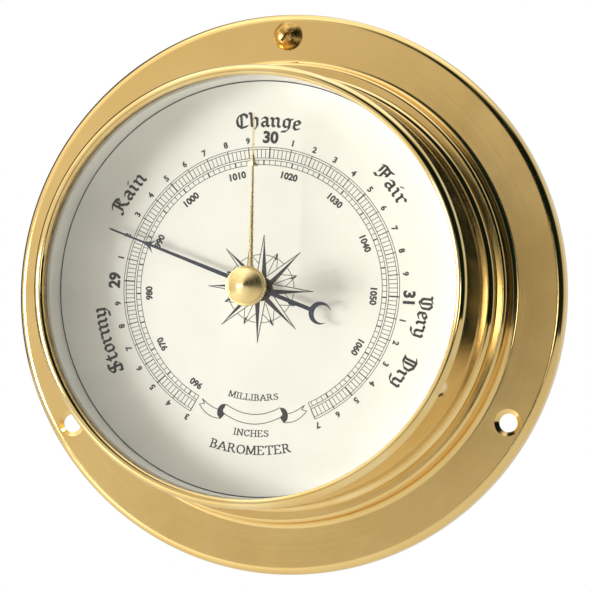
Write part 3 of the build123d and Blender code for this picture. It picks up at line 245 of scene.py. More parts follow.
def carve(obj, bm, operation, angle=30):
    """Cuts a second mesh out of a piece, or joins it on."""
    bmesh.ops.recalc_face_normals(bm, faces=bm.faces)
    mesh = bpy.data.meshes.new("cutter")
    bm.to_mesh(mesh)
    bm.free()
    cutter = bpy.data.objects.new("cutter", mesh)
    bpy.context.scene.collection.objects.link(cutter)
    change = obj.modifiers.new("carve", "BOOLEAN")
    change.object = cutter
    change.operation = operation
    change.solver = "EXACT"
    bpy.context.view_layer.update()
    result = bpy.data.meshes.new_from_object(obj.evaluated_get(bpy.context.evaluated_depsgraph_get()))
    obj.modifiers.clear()
    old = obj.data
    obj.data = result
    result.name = obj.name
    bpy.data.objects.remove(cutter)
    bpy.data.meshes.remove(mesh)
    bpy.data.meshes.remove(old)
    soften(obj.data, angle)


def skin(bm, rings):
    """Joins rings of corners into a closed bar."""
    count = len(rings[0])
    for one, two in zip(rings, rings[1:]):
        for i in range(count):
            j = (i + 1) % count
            bm.faces.new((one[i], one[j], two[j], two[i]))
    bm.faces.new(rings[0])
    bm.faces.new(rings[-1][::-1])


# ---------------------------------------------------------------- shader nodes
def linear(code):
    """An sRGB hex colour as linear RGBA."""
    shares = [int(code[i:i + 2], 16) / 255 for i in (0, 2, 4)]
    return [s / 12.92 if s <= 0.04045 else ((s + 0.055) / 1.055) ** 2.4 for s in shares] + [1.0]


def add(tree, kind, inputs=None, **settings):
    """Adds a node with its settings; an input is a value, or the output that feeds it."""
    node = tree.nodes.new("ShaderNode" + kind)
    for key, value in settings.items():
        setattr(node, key, value)
    for key, value in (inputs or {}).items():
        if isinstance(value, bpy.types.NodeSocket):
            tree.links.new(value, node.inputs[key])
        else:
            node.inputs[key].default_value = value
    return node


def new_finish(name, inputs):
    """A material with a Principled shader and these inputs; returns it with its tree and shader."""
    finish = bpy.data.materials.new(name)
    finish.use_nodes = True
    tree = finish.node_tree
    tree.nodes.clear()
    shader = add(tree, "BsdfPrincipled", inputs)
    out = add(tree, "OutputMaterial", {"Surface": shader.outputs[0]})
    out.name = "out"
    return finish, tree, shader


def place(tree):
    """Where a point of the piece is, in metres, in the barometer's own frame."""
    return add(tree, "TexCoord").outputs["Object"]


def from_axis(tree, position):
    """The distance of a point from the dial's axis, and its place along that axis, as a vector
    that stays the same all the way round: a pattern made of it runs in circles."""
    apart = add(tree, "SeparateXYZ", {0: position})
    flat = add(tree, "CombineXYZ", {0: apart.outputs[0], 1: apart.outputs[2]})
    radius = add(tree, "VectorMath", {0: flat.outputs[0]}, operation="LENGTH")
    return add(tree, "CombineXYZ", {0: radius.outputs["Value"], 1: apart.outputs[1]}).outputs[0]


def noise(tree, vector, size_mm, detail=2.0, rough=0.5):
    """Noise whose patches are about this many millimetres across."""
    return add(tree, "TexNoise", {"Vector": vector, "Scale": 1 / (size_mm * MM), "Detail": detail,
                                  "Roughness": rough}).outputs["Fac"]


def spread(tree, value, low, high, start=0.3, end=0.7):
    """Maps noise between two values."""
    return add(tree, "MapRange", {"Value": value, "From Min": start, "From Max": end, "To Min": low,
                                  "To Max": high}).outputs[0]


def between(tree, share, one, two):
    """A colour between two hex colours."""
    mix = add(tree, "Mix", {0: share}, data_type="RGBA")
    mix.inputs[6].default_value = linear(one)
    mix.inputs[7].default_value = linear(two)
    return mix.outputs[2]


def relief(tree, height, depth_mm, strength=1.0):
    """A bump of this depth for a height that runs from 0 to 1."""
    return add(tree, "Bump", {"Height": height, "Distance": depth_mm * MM, "Strength": strength}).outputs[0]


def mottled(tree, position, size_mm, detail, one, two):
    """Two hex colours in patches about this many millimetres across."""
    return between(tree, spread(tree, noise(tree, position, size_mm, detail), 0, 1), one, two)


def dress(tree, shader, colour, roughness, normal=None):
    """Feeds a shader its colour, its roughness and, where it has one, its relief."""
    tree.links.new(colour, shader.inputs["Base Color"])
    tree.links.new(roughness, shader.inputs["Roughness"])
    if normal:
        tree.links.new(normal, shader.inputs["Normal"])


# ---------------------------------------------------------------- finishes
BRASS = "F0D08E"
BRASS_WARM = "E9C67F"


def polished_spun_brass():
    """70/30 brass sheet, spun and buffed: a soft mirror with faint circles from the spinning
    tool, and slightly warmer, duller patches where it has begun to tarnish."""
    finish, tree, shader = new_finish("polished_spun_brass", {"Metallic": 1.0})
    position = place(tree)
    circles = from_axis(tree, position)
    tarnish = noise(tree, position, 22, 4)
    buffing = noise(tree, circles, 0.5, 3)
    smear = noise(tree, position, 9, 3)
    rough = add(tree, "Math", {0: spread(tree, smear, 0.09, 0.17), 1: spread(tree, buffing, -0.02, 0.04)})
    dress(tree, shader, between(tree, spread(tree, tarnish, 0, 1), BRASS, BRASS_WARM), rough.outputs[0],
          relief(tree, buffing, 0.0012))
    return finish


def mirror_brass():
    """The same brass lacquered over a mirror polish, as on the bezel: sharper reflections."""
    finish, tree, shader = new_finish("mirror_brass", {"Metallic": 1.0, "Coat Weight": 0.25,
                                                       "Coat Roughness": 0.04})
    position = place(tree)
    circles = from_axis(tree, position)
    dress(tree, shader, mottled(tree, position, 14, 3, "F3D99C", BRASS_WARM),
          spread(tree, noise(tree, circles, 0.8, 3), 0.05, 0.10),
          relief(tree, noise(tree, circles, 0.6, 2), 0.0006))
    return finish


def turned_brass():
    """Free-cutting brass faced in a lathe: fine rings that draw light out into bright wedges.
    The rings are drawn at 0.14 mm, coarser than the real feed, so that they show."""
    finish, tree, shader = new_finish("turned_brass", {"Metallic": 1.0, "Anisotropic": 0.85})
    position = place(tree)
    circles = from_axis(tree, position)
    rings = noise(tree, circles, 0.14, 2)
    dress(tree, shader, mottled(tree, position, 3, 3, "F2DDA4", "E9CB8A"),
          spread(tree, rings, 0.20, 0.32), relief(tree, rings, 0.004))
    axis = add(tree, "VectorMath", {0: position, 1: (0, 1, 0)}, operation="CROSS_PRODUCT")
    along = add(tree, "VectorMath", {0: axis.outputs[0]}, operation="NORMALIZE")
    tree.links.new(along.outputs[0], shader.inputs["Tangent"])
    return finish


def plate_brass():
    """Half-hard brass plate as it leaves the rolls and the file: satin, with straight grain
    and brown blotches of tarnish. Used for the hidden works and the back plate."""
    finish, tree, shader = new_finish("plate_brass", {"Metallic": 1.0})
    position = place(tree)
    drawn = add(tree, "Mapping", {"Vector": position, "Scale": (0.06, 1, 1)}).outputs[0]
    grain = noise(tree, drawn, 0.25, 3)
    freckles = noise(tree, position, 2.5, 5, 0.65)
    dress(tree, shader, between(tree, spread(tree, freckles, 0, 1, 0.45, 0.72), "DDBD78", "A07C42"),
          spread(tree, grain, 0.26, 0.44), relief(tree, grain, 0.004))
    return finish


def turned_steel():
    """Bright silver steel, lightly oiled: grey, finely mottled, with darker specks."""
    finish, tree, shader = new_finish("turned_steel", {"Metallic": 1.0})
    position = place(tree)
    specks = noise(tree, position, 0.8, 4, 0.6)
    dress(tree, shader, between(tree, spread(tree, specks, 0, 1, 0.5, 0.75), "C4C4C6", "86868A"),
          spread(tree, noise(tree, position, 0.3, 2), 0.22, 0.36),
          relief(tree, noise(tree, position, 0.12, 2), 0.002))
    return finish


def tempered_steel():
    """Hardened spring steel strip with its temper colour left on: blue-grey going to straw."""
    finish, tree, shader = new_finish("tempered_steel", {"Metallic": 1.0})
    position = place(tree)
    dress(tree, shader, mottled(tree, position, 6, 3, "5A6478", "7D7468"),
          spread(tree, noise(tree, position, 0.4, 3), 0.24, 0.40),
          relief(tree, noise(tree, position, 0.3, 2), 0.003))
    return finish


def blued_steel():
    """Steel blued over a flame: a thin oxide, near black with a navy sheen, slightly uneven."""
    finish, tree, shader = new_finish("blued_steel", {"Metallic": 0.55, "Specular IOR Level": 0.6})
    position = place(tree)
    dress(tree, shader, mottled(tree, position, 4, 3, "1B2438", "242D40"),
          spread(tree, noise(tree, position, 0.5, 3), 0.30, 0.42),
          relief(tree, noise(tree, position, 0.25, 2), 0.002))
    return finish


def nickel_silver():
    """Thin corrugated nickel silver sheet: a pale, slightly yellow satin with faint circles."""
    finish, tree, shader = new_finish("nickel_silver", {"Metallic": 1.0})
    position = place(tree)
    circles = from_axis(tree, position)
    dress(tree, shader, mottled(tree, position, 3, 4, "CFCBBB", "A9A392"),
          spread(tree, noise(tree, circles, 0.4, 3), 0.28, 0.42),
          relief(tree, noise(tree, circles, 0.4, 2), 0.004))
    return finish


def enamel(name, one, two):
    """White stoving enamel on metal: smooth and faintly mottled, with a low satin shine."""
    finish, tree, shader = new_finish(name, {"IOR": 1.5})
    position = place(tree)
    dress(tree, shader, mottled(tree, position, 16, 3, one, two),
          spread(tree, noise(tree, position, 5, 3), 0.42, 0.55),
          relief(tree, noise(tree, position, 0.7, 3), 0.003))
    return finish


def printing_ink():
    """Black transfer ink, matt, and a little thinner in places."""
    finish, tree, shader = new_finish("printing_ink", {"IOR": 1.5, "Specular IOR Level": 0.3})
    position = place(tree)
    dress(tree, shader, mottled(tree, position, 0.5, 3, "17171C", "2A2A31"),
          spread(tree, noise(tree, position, 0.6, 2), 0.55, 0.75))
    return finish


def window_glass():
    """Clear float glass: almost unseen, it only mirrors a little light. Lamps pass through it."""
    finish, tree, shader = new_finish("window_glass", {"Base Color": linear("FFFEFC"), "IOR": 1.5,
                                                       "Transmission Weight": 1.0})
    clear = add(tree, "BsdfTransparent", {"Color": linear("FDFDFB")})
    path = add(tree, "LightPath")
    lamps = add(tree, "Math", {0: path.outputs["Is Shadow Ray"], 1: path.outputs["Is Diffuse Ray"]},
                operation="MAXIMUM")
    mix = add(tree, "MixShader", {0: lamps.outputs[0], 1: shader.outputs[0], 2: clear.outputs[0]})
    tree.links.new(mix.outputs[0], tree.nodes["out"].inputs["Surface"])
    smears = noise(tree, place(tree), 30, 2)
    tree.links.new(spread(tree, smears, 0.0, 0.02), shader.inputs["Roughness"])
    return finish


def gasket_rubber():
    """Black rubberised cork: matt, with fine grains."""
    finish, tree, shader = new_finish("gasket_rubber", {"IOR": 1.5})
    position = place(tree)
    grains = noise(tree, position, 0.5, 4)
    dress(tree, shader, between(tree, spread(tree, grains, 0, 1), "1E1C1A", "35302A"),
          spread(tree, grains, 0.7, 0.9), relief(tree, grains, 0.03))
    return finish


def red_fibre():
    """Vulcanised fibre: hard, dull red-brown paper board with darker fibres."""
    finish, tree, shader = new_finish("red_fibre", {"IOR": 1.5})
    position = place(tree)
    fibres = noise(tree, position, 0.3, 5, 0.7)
    dress(tree, shader, between(tree, spread(tree, fibres, 0, 1), "7C2E1C", "5A2016"),
          spread(tree, fibres, 0.5, 0.7), relief(tree, fibres, 0.01))
    return finish


SPUN = polished_spun_brass()
MIRROR = mirror_brass()
TURNED = turned_brass()
PLATE = plate_brass()
STEEL = turned_steel()
TEMPERED = tempered_steel()
BLUED = blued_steel()
CAPSULE = nickel_silver()
DIAL_WHITE = enamel("dial_enamel", "F6F5F0", "EFEEE8")
RING_WHITE = enamel("ring_enamel", "F2F2EE", "E6E6E0")
INK = printing_ink()
GLASS = window_glass()
GASKET = gasket_rubber()
FIBRE = red_fibre()

FINISH_OF_SLOT = {"polished_brass": SPUN, "satin_brass": PLATE, "steel": STEEL, "spring_steel": TEMPERED,
                  "blued_steel": BLUED, "nickel_silver": CAPSULE, "dial_enamel": DIAL_WHITE,
                  "white_ring": RING_WHITE, "window_glass": GLASS, "cork_gasket": GASKET,
                  "fibre_washer": FIBRE}
for part in frame["record"]["subparts"]:
    mesh = nodes[part["node"]].data
    mesh.materials.clear()
    mesh.materials.append(FINISH_OF_SLOT[part["material_slot"]])
    soften(mesh)


# ---------------------------------------------------------------- spun case
def flange_outline():
    """Half-section of the wall flange: rolled rim, face, cove, lower barrel and ledge."""
    rim = (FLANGE_R - RIM_R, FLANGE_H - RIM_R)
    root_h = FLANGE_H + FLANGE_RISE
    barrel_in = BARREL_R - SHEET
    outline = [(FLANGE_R, 0)] + arc(rim, RIM_R, 0, 90, 20)
    outline += arc((BARREL_R + COVE_R, root_h + COVE_R), COVE_R, 270, 180, 12)
    outline += arc((BARREL_R - SHOULDER_R, LEDGE_H - SHOULDER_R), SHOULDER_R, 0, 90, 12)
    outline += [(SEAT_R, LEDGE_H), (SEAT_R, BEZEL_FOOT), (NECK_R, BEZEL_FOOT), (NECK_R, LEDGE_UNDER)]
    outline += [(barrel_in - SHOULDER_R, LEDGE_UNDER), (barrel_in, LEDGE_UNDER - SHOULDER_R)]
    outline += [(barrel_in, root_h - SHEET)]
    outline += arc(rim, RIM_R - SHEET, 90, 0, 16)
    outline += [(FLANGE_R - SHEET, 0)]
    return outline


def make_flange():
    bm = bmesh.new()
    turn_outline(bm, flange_outline(), facing(0))
    flange = piece("spun_flange", bm, SPUN, replaces=["wall_flange"])
    lugs = bmesh.new()
    for angle in LUG_ANGLES:
        x, z = clock(BARREL_R - SHEET / 2 - LUG_DEPTH / 2, angle)
        prism(lugs, rectangle(LUG_W, LUG_DEPTH), LUG_LOW, LUG_HIGH, facing(0, angle, x, z))
    carve(flange, lugs, "UNION")
    holes = bmesh.new()
    slope = FLANGE_RISE / (FLANGE_R - RIM_R - BARREL_R - COVE_R)
    sink_top = FLANGE_H + slope * (FLANGE_R - RIM_R - HOLE_CIRCLE_R)
    sink_low = sink_top - (HOLE_SINK_R - HOLE_R) / tan(radians(SINK_ANGLE / 2))
    for i in range(HOLE_COUNT):
        x, z = clock(HOLE_CIRCLE_R, i * 360 / HOLE_COUNT)
        cutter = [(0, -1), (HOLE_R, -1), (HOLE_R, sink_low), (HOLE_SINK_R, sink_top),
                  (HOLE_SINK_R, CUTTER_TOP), (0, CUTTER_TOP)]
        turn_outline(holes, cutter, facing(0, 0, x, z), 64)
    for angle in LUG_ANGLES:
        x, z = clock(BARREL_R - SHEET - LUG_DEPTH / 2, angle)
        turn_outline(holes, [(0, 0), (LUG_BORE_R, 0), (LUG_BORE_R, LUG_BORE_TOP), (0, LUG_BORE_TOP)],
                     facing(0, 0, x, z), 32)
    carve(flange, holes, "DIFFERENCE")
    return flange


def bezel_outline():
    """Half-section of the bezel: its rounded lip, sleeve and the bead round its foot."""
    sleeve_in = BEZEL_R - BEZEL_WALL
    bead = (BEZEL_R + BEZEL_BEAD_OUT - BEZEL_BEAD_R, BEZEL_FOOT + BEAD_LIFT + BEZEL_BEAD_R)
    meets = degrees(acos((BEZEL_R - bead[0]) / BEZEL_BEAD_R))
    outline = [(bead[0], BEZEL_FOOT), (sleeve_in, BEZEL_FOOT), (sleeve_in, LIP_UNDER),
               (BEZEL_LIP_R, LIP_UNDER)]
    outline += arc((BEZEL_LIP_R + LIP_INNER_ROUND, BEZEL_H - LIP_INNER_ROUND), LIP_INNER_ROUND, 180, 90, 8)
    outline += arc((BEZEL_R - LIP_OUTER_ROUND, BEZEL_H - LIP_OUTER_ROUND), LIP_OUTER_ROUND, 90, 0, 16)
    outline += arc(bead, BEZEL_BEAD_R, meets, -90, 16)
    return outline


def make_bezel():
    bm = bmesh.new()
    turn_outline(bm, bezel_outline(), facing(0))
    return piece("polished_bezel", bm, MIRROR, replaces=["bezel"])


make_flange()
make_bezel()


# ---------------------------------------------------------------- the dial's print
def share(radius):
    """A radius given as a share of the scale's."""
    return radius * SCALE_R


def printed(bm, outline, thick=PRINT_THICK):
    """Lays a flat outline of ink on the dial."""
    prism(bm, outline, -PRINT_SUNK, thick, ON_DIAL)


LINE_END = 0.3  # how far a line runs past its end points, as a share of half its width


def line(bm, points, width):
    """A printed line of even width through points."""
    for p, q in zip(points, points[1:]):
        along = Vector((q[0] - p[0], q[1] - p[1]))
        if along.length < 1e-6:
            continue
        along = along.normalized() * width / 2
        side = Vector((-along.y, along.x))
        start, end = Vector(p[:2]) - along * LINE_END, Vector(q[:2]) + along * LINE_END
        printed(bm, [start + side, end + side, end - side, start - side])


def circle_line(bm, radius, width, start, end):
    """A printed arc, between two clock angles, as one closed solid."""
    steps = max(4, round((end - start) / 1.5))
    inner = [clock(radius - width / 2, start + (end - start) * i / steps) for i in range(steps + 1)]
    outer = [clock(radius + width / 2, start + (end - start) * i / steps) for i in range(steps + 1)]
    printed(bm, outer + inner[::-1])


def mark(bm, low, high, angle, width=LINE_W):
    line(bm, [clock(low, angle), clock(high, angle)], width)


def inch_angle(inches):
    return (inches - 30) * DEG_PER_INCH


INCH_LOW, INCH_HIGH = 28.3, 31.7
CELL_INCHES = 0.02
CELLS_PER_TENTH = 5
SCALE_IN, CELL_IN, CELL_OUT, SCALE_OUT = 0.884, 0.932, 0.994, 1.010
LADDER_OUT = 0.917
GAP_SHADE_R, GAP_SHADE_W = 54.98, 0.3  # painted shade: a dark ink ring standing for the shaded gap where the dial meets the white ring


def make_scales():
    """The inch scale, with its ring of small cells, and the millibar ladder inside it."""
    bm = bmesh.new()
    first, last = inch_angle(INCH_LOW), inch_angle(INCH_HIGH)
    for radius in (SCALE_IN, LADDER_OUT, CELL_IN, CELL_OUT, SCALE_OUT):
        circle_line(bm, share(radius), LINE_W, first, last)
    cells = round((INCH_HIGH - INCH_LOW) / CELL_INCHES)
    for i in range(cells + 1):
        angle = first + i * CELL_INCHES * DEG_PER_INCH
        tenths = round(INCH_LOW * 10) + i / CELLS_PER_TENTH
        whole_tenth = i % CELLS_PER_TENTH == 0
        bold = whole_tenth and round(tenths) % 5 == 0
        mark(bm, share(CELL_IN), share(SCALE_OUT if whole_tenth else CELL_OUT), angle,
             BOLD_W if bold else LINE_W * (1.5 if whole_tenth else 1))
    low = ceil(INCH_LOW * MILLIBARS_PER_INCH)
    high = int(INCH_HIGH * MILLIBARS_PER_INCH)
    for millibars in range(low, high + 1):
        five = millibars % 5 == 0
        mark(bm, share(SCALE_IN), share(LADDER_OUT), inch_angle(millibars / MILLIBARS_PER_INCH),
             BOLD_W if five else LINE_W)
    for angle in (first, last):
        mark(bm, share(SCALE_IN), share(SCALE_OUT), angle, LINE_W)
    # Painted shade: an ink ring, in two halves, where the shaded gap between the dial and the white ring lies
    circle_line(bm, GAP_SHADE_R, GAP_SHADE_W, -180, 0)
    circle_line(bm, GAP_SHADE_R, GAP_SHADE_W, 0, 180)
    return piece("printed_scales", bm, INK)


BOLD = 0.045  # how much the strokes of the figures are thickened, as a share of their size


def figure_mesh(text):
    """A figure or number as a closed mesh about its own centre, one unit high."""
    curve = bpy.data.curves.new("figure", "FONT")
    curve.body = text
    curve.offset = BOLD
    curve.extrude = 0.01
    curve.resolution_u = 4
    obj = bpy.data.objects.new("figure", curve)
    bpy.context.scene.collection.objects.link(obj)
    bpy.context.view_layer.update()
    mesh = bpy.data.meshes.new_from_object(obj.evaluated_get(bpy.context.evaluated_depsgraph_get()))
    bpy.data.objects.remove(obj)
    bpy.data.curves.remove(curve)
    corners = [v.co for v in mesh.vertices]
    low = Vector([min(c[i] for c in corners) for i in range(3)])
    high = Vector([max(c[i] for c in corners) for i in range(3)])
    tall = high.y - low.y
    flat = (PRINT_THICK + PRINT_SUNK) / (high.z - low.z)
    middle = (low + high) / 2
    for v in mesh.vertices:
        v.co = Vector(((v.co.x - middle.x) / tall, (v.co.y - middle.y) / tall,
                       (v.co.z - low.z) * flat - PRINT_SUNK))
    return mesh


def figures(bm, text, height, radius, angle, meshes):
    """Prints a figure with its top outwards at a clock angle."""
    if text not in meshes:
        meshes[text] = figure_mesh(text)
    mesh = meshes[text].copy()
    x, y = clock(radius, angle)
    a = radians(angle)
    turned = Matrix(((cos(a), sin(a), 0, x), (-sin(a), cos(a), 0, y), (0, 0, 1, 0), (0, 0, 0, 1)))
    mesh.transform(ON_DIAL @ turned @ Matrix.Diagonal((height, height, 1, 1)))
    bm.from_mesh(mesh)
    bpy.data.meshes.remove(mesh)


def make_figures():
    bm = bmesh.new()
    meshes = {}
    for tenth in range(round(INCH_LOW * 10), round(INCH_HIGH * 10) + 1):
        if tenth % 10:
            figures(bm, str(tenth % 10), share(0.046), share(1.058), inch_angle(tenth / 10), meshes)
        else:
            figures(bm, str(tenth // 10), share(0.09), share(1.081), inch_angle(tenth / 10), meshes)
    for millibars in range(960, 1061, 10):
        figures(bm, str(millibars), share(0.052), share(0.822),
                inch_angle(millibars / MILLIBARS_PER_INCH), meshes)
    return piece("printed_figures", bm, INK)


# Pen strokes of the letters: x runs along the line and y up from it. A black letter's small
# letters are 1 high and a Roman capital is 1 high. The last number is the room it takes.
STEM = [(0, 0.93), (0.13, 0.82), (0.13, 0.18), (0.27, 0.05)]
SECOND = [(0.17, 0.78), (0.38, 0.97), (0.52, 0.83), (0.52, 0.18), (0.66, 0.05)]
THIRD = [(x + 0.39, y) for x, y in SECOND]
BLACK_LETTERS = {
    "a": ([[(0.13, 0.84), (0.30, 0.97), (0.48, 0.83), (0.48, 0.18), (0.62, 0.05)],
           [(0.48, 0.56), (0.14, 0.46), (0.12, 0.18), (0.26, 0.03), (0.46, 0.20)]], 0.74),
    "e": ([[(0.32, 0.98), (0.13, 0.82), (0.13, 0.20), (0.30, 0.03), (0.52, 0.18)],
           [(0.32, 0.98), (0.50, 0.80), (0.46, 0.62), (0.17, 0.46)]], 0.64),
    "g": ([[(0.32, 0.98), (0.13, 0.82), (0.13, 0.26), (0.30, 0.10), (0.50, 0.26)],
           [(0.32, 0.98), (0.52, 0.84), (0.52, 0.0), (0.34, -0.32), (0.04, -0.36)],
           [(0.50, 0.90), (0.68, 0.99)]], 0.74),
    "h": ([[(0, 1.46), (0.13, 1.36), (0.13, 0.18), (0.27, 0.05)],
           [(0.17, 0.78), (0.38, 0.97), (0.52, 0.83), (0.52, 0.16), (0.38, -0.16)]], 0.74),
    "i": ([STEM, [(0.08, 1.26), (0.20, 1.36)]], 0.42),
    "m": ([STEM, SECOND, THIRD], 1.18),
    "n": ([STEM, SECOND], 0.79),
    "o": ([[(0.32, 0.98), (0.13, 0.82), (0.13, 0.20), (0.30, 0.03)],
           [(0.32, 0.98), (0.52, 0.80), (0.52, 0.18), (0.30, 0.03)]], 0.70),
    "r": ([STEM, [(0.17, 0.76), (0.36, 0.97), (0.50, 0.84)]], 0.56),
    "t": ([[(0.18, 1.24), (0.14, 0.96), (0.14, 0.20), (0.28, 0.04), (0.44, 0.14)],
           [(0.0, 0.92), (0.38, 0.92)]], 0.50),
    "y": ([[(0, 0.93), (0.13, 0.82), (0.13, 0.22), (0.30, 0.06), (0.50, 0.22)],
           [(0.38, 0.95), (0.52, 0.82), (0.52, 0.0), (0.34, -0.32), (0.04, -0.36)]], 0.72),
    "C": ([[(0.78, 1.26), (0.58, 1.42), (0.24, 1.24), (0.10, 0.84), (0.14, 0.36), (0.40, 0.04), (0.80, 0.16)],
           [(0.44, 1.32), (0.40, 0.22)], [(0.78, 1.26), (0.82, 1.02)]], 0.98),
    "D": ([[(0.02, 1.26), (0.22, 1.40), (0.62, 1.32), (0.88, 0.96), (0.84, 0.40), (0.50, 0.04), (0.08, 0.08)],
           [(0.24, 1.30), (0.24, 0.18)], [(0.48, 1.26), (0.48, 0.22)]], 1.06),
    "F": ([[(0.04, 1.30), (0.26, 1.42), (0.56, 1.32), (0.86, 1.42)],
           [(0.38, 1.34), (0.38, 0.24), (0.20, 0.02), (0.0, 0.12)], [(0.40, 0.78), (0.68, 0.84)],
           [(0.14, 1.22), (0.14, 0.56)], [(0.66, 1.32), (0.68, 0.66)]], 0.86),
    "R": ([[(0.02, 1.28), (0.22, 1.42), (0.60, 1.38), (0.76, 1.14), (0.60, 0.84), (0.36, 0.78)],
           [(0.30, 1.34), (0.30, 0.22), (0.12, 0.02), (-0.02, 0.12)],
           [(0.44, 0.78), (0.64, 0.38), (0.76, 0.12), (0.92, 0.06)], [(0.52, 1.28), (0.52, 0.86)]], 1.0),
    "S": ([[(0.78, 1.30), (0.50, 1.42), (0.20, 1.22), (0.22, 0.92), (0.62, 0.70), (0.76, 0.38),
            (0.50, 0.04), (0.10, 0.16)], [(0.50, 1.30), (0.46, 0.16)], [(0.12, 0.46), (0.10, 0.16)]], 0.94),
    "V": ([[(0.02, 1.36), (0.18, 1.26), (0.16, 0.40), (0.44, 0.04), (0.80, 0.34), (0.82, 1.08),
            (0.62, 1.40)], [(0.48, 1.34), (0.48, 0.26)], [(0.18, 1.26), (0.40, 1.40)]], 0.98),
}
FOOT, HEAD, BAR = 0.0, 1.0, 0.52


def serif(x, y):
    return [(x - 0.13, y), (x + 0.13, y)]


def upright(x):
    """A Roman stem with its two serifs."""
    return [[(x, FOOT), (x, HEAD)], serif(x, FOOT), serif(x, HEAD)]


ROMAN = {
    "A": ([[(0.06, 0), (0.40, 1)], [(0.40, 1), (0.74, 0)], [(0.20, 0.33), (0.58, 0.33)], serif(0.06, 0),
           serif(0.74, 0)], 0.88),
    "B": (upright(0.17) + [[(0.17, 1), (0.46, 0.98), (0.58, 0.76), (0.44, 0.55), (0.17, 0.53)],
                           [(0.44, 0.53), (0.64, 0.29), (0.48, 0.02), (0.17, 0)]], 0.80),
    "C": ([[(0.68, 0.80), (0.46, 0.99), (0.20, 0.86), (0.10, 0.5), (0.20, 0.14), (0.46, 0.01), (0.70, 0.22)],
           [(0.68, 0.98), (0.68, 0.74)]], 0.84),
    "E": (upright(0.17) + [[(0.17, 1), (0.60, 1), (0.62, 0.80)], [(0.17, BAR), (0.48, BAR)],
                           [(0.17, 0), (0.62, 0), (0.65, 0.22)]], 0.78),
    "H": (upright(0.16) + upright(0.68) + [[(0.16, BAR), (0.68, BAR)]], 0.88),
    "I": (upright(0.18), 0.42),
    "L": (upright(0.17) + [[(0.17, 0), (0.60, 0), (0.63, 0.24)]], 0.74),
    "M": ([[(0.12, 0), (0.12, 1)], [(0.14, 1), (0.48, 0.06)], [(0.48, 0.06), (0.82, 1)],
           [(0.84, 1), (0.84, 0)], serif(0.12, 0), serif(0.84, 0), serif(0.84, 1)], 1.02),
    "N": ([[(0.13, 0), (0.13, 1)], [(0.13, 1), (0.70, 0)], [(0.70, 0), (0.70, 1)], serif(0.13, 0),
           serif(0.70, 1)], 0.88),
    "O": ([[(0.44, 1), (0.18, 0.88), (0.08, 0.5), (0.18, 0.12), (0.44, 0), (0.70, 0.12), (0.80, 0.5),
            (0.70, 0.88), (0.44, 1)]], 0.92),
    "R": (upright(0.17) + [[(0.17, 1), (0.50, 0.97), (0.60, 0.76), (0.48, 0.53), (0.17, 0.5)],
                           [(0.42, 0.5), (0.64, 0.08), (0.78, 0)]], 0.86),
    "S": ([[(0.58, 0.80), (0.42, 0.98), (0.20, 0.92), (0.14, 0.72), (0.30, 0.56), (0.50, 0.44), (0.60, 0.24),
            (0.42, 0.02), (0.20, 0.05), (0.10, 0.22)]], 0.72),
    "T": ([[(0.40, 0), (0.40, 1)], serif(0.40, 0), [(0.06, 0.80), (0.08, 1), (0.72, 1), (0.74, 0.80)]], 0.82),
}


def brush(bm, path, nib, bend):
    """The ground a pen's nib covers along a path, bent onto the dial."""
    for p, q in zip(path, path[1:]):
        cover = [(c[0] + n[0], c[1] + n[1]) for c in (p, q) for n in nib]
        rim = [cover[i] for i in convex_hull_2d(cover)]
        printed(bm, [bend(x, y) for x, y in rim])


def slanted_nib(width, thin, angle):
    a = radians(angle)
    corners = []
    for along, off in ((-width, -thin), (width, -thin), (width, thin), (-width, thin)):
        corners.append(((along * cos(a) - off * sin(a)) / 2, (along * sin(a) + off * cos(a)) / 2))
    return corners


def lettered(bm, word, letters, nib, bend, wide):
    """Writes a word with pen strokes, from x = 0; wide stretches it along its line."""
    at = 0.0
    for letter in word:
        strokes, room = letters[letter]
        for stroke in strokes:
            brush(bm, [((x + at) * wide, y) for x, y in stroke], nib, bend)
        at += room


def room_of(word, letters):
    return sum(letters[letter][1] for letter in word)


WEATHER = (("Stormy", -123.4, -99.4), ("Rain", -66.0, -50.0), ("Change", -12.7, 10.6), ("Fair", 41.6, 56.6),
           ("Very", 89.4, 104.0), ("Dry", 110.4, 122.4))
WEATHER_R = 1.154
X_HEIGHT = 0.0705


def make_weather_words():
    """The weather words in a heavy black letter, with their tops outwards."""
    bm = bmesh.new()
    unit = share(X_HEIGHT)
    base = share(WEATHER_R)
    nib = slanted_nib(0.27, 0.07, 42)
    for word, start, end in WEATHER:
        wide = radians(end - start) * base / unit / room_of(word, BLACK_LETTERS)

        def bend(x, y, start=start):
            return clock(base + y * unit, start + degrees(x * unit / base))

        lettered(bm, word, BLACK_LETTERS, nib, bend, wide)
    return piece("printed_weather_words", bm, INK)


TITLES = (("MILLIBARS", 0.775, 0.043, 14.0), ("INCHES", 1.030, 0.045, 9.9), ("BAROMETER", 1.150, 0.060, 22.7))


def make_titles():
    """The words below the scale's opening, with their tops towards the centre."""
    bm = bmesh.new()
    for word, middle, height, length in TITLES:
        unit = share(height)
        base = share(middle) + unit / 2
        wide = length / unit / room_of(word, ROMAN)

        def bend(x, y, unit=unit, base=base, length=length):
            return clock(base - y * unit, 180 - degrees((x * unit - length / 2) / base))

        lettered(bm, word, ROMAN, slanted_nib(0.17, 0.075, 8), bend, wide)
    return piece("printed_titles", bm, INK)


def mirrored(points):
    return [(-x, y) for x, y in points]


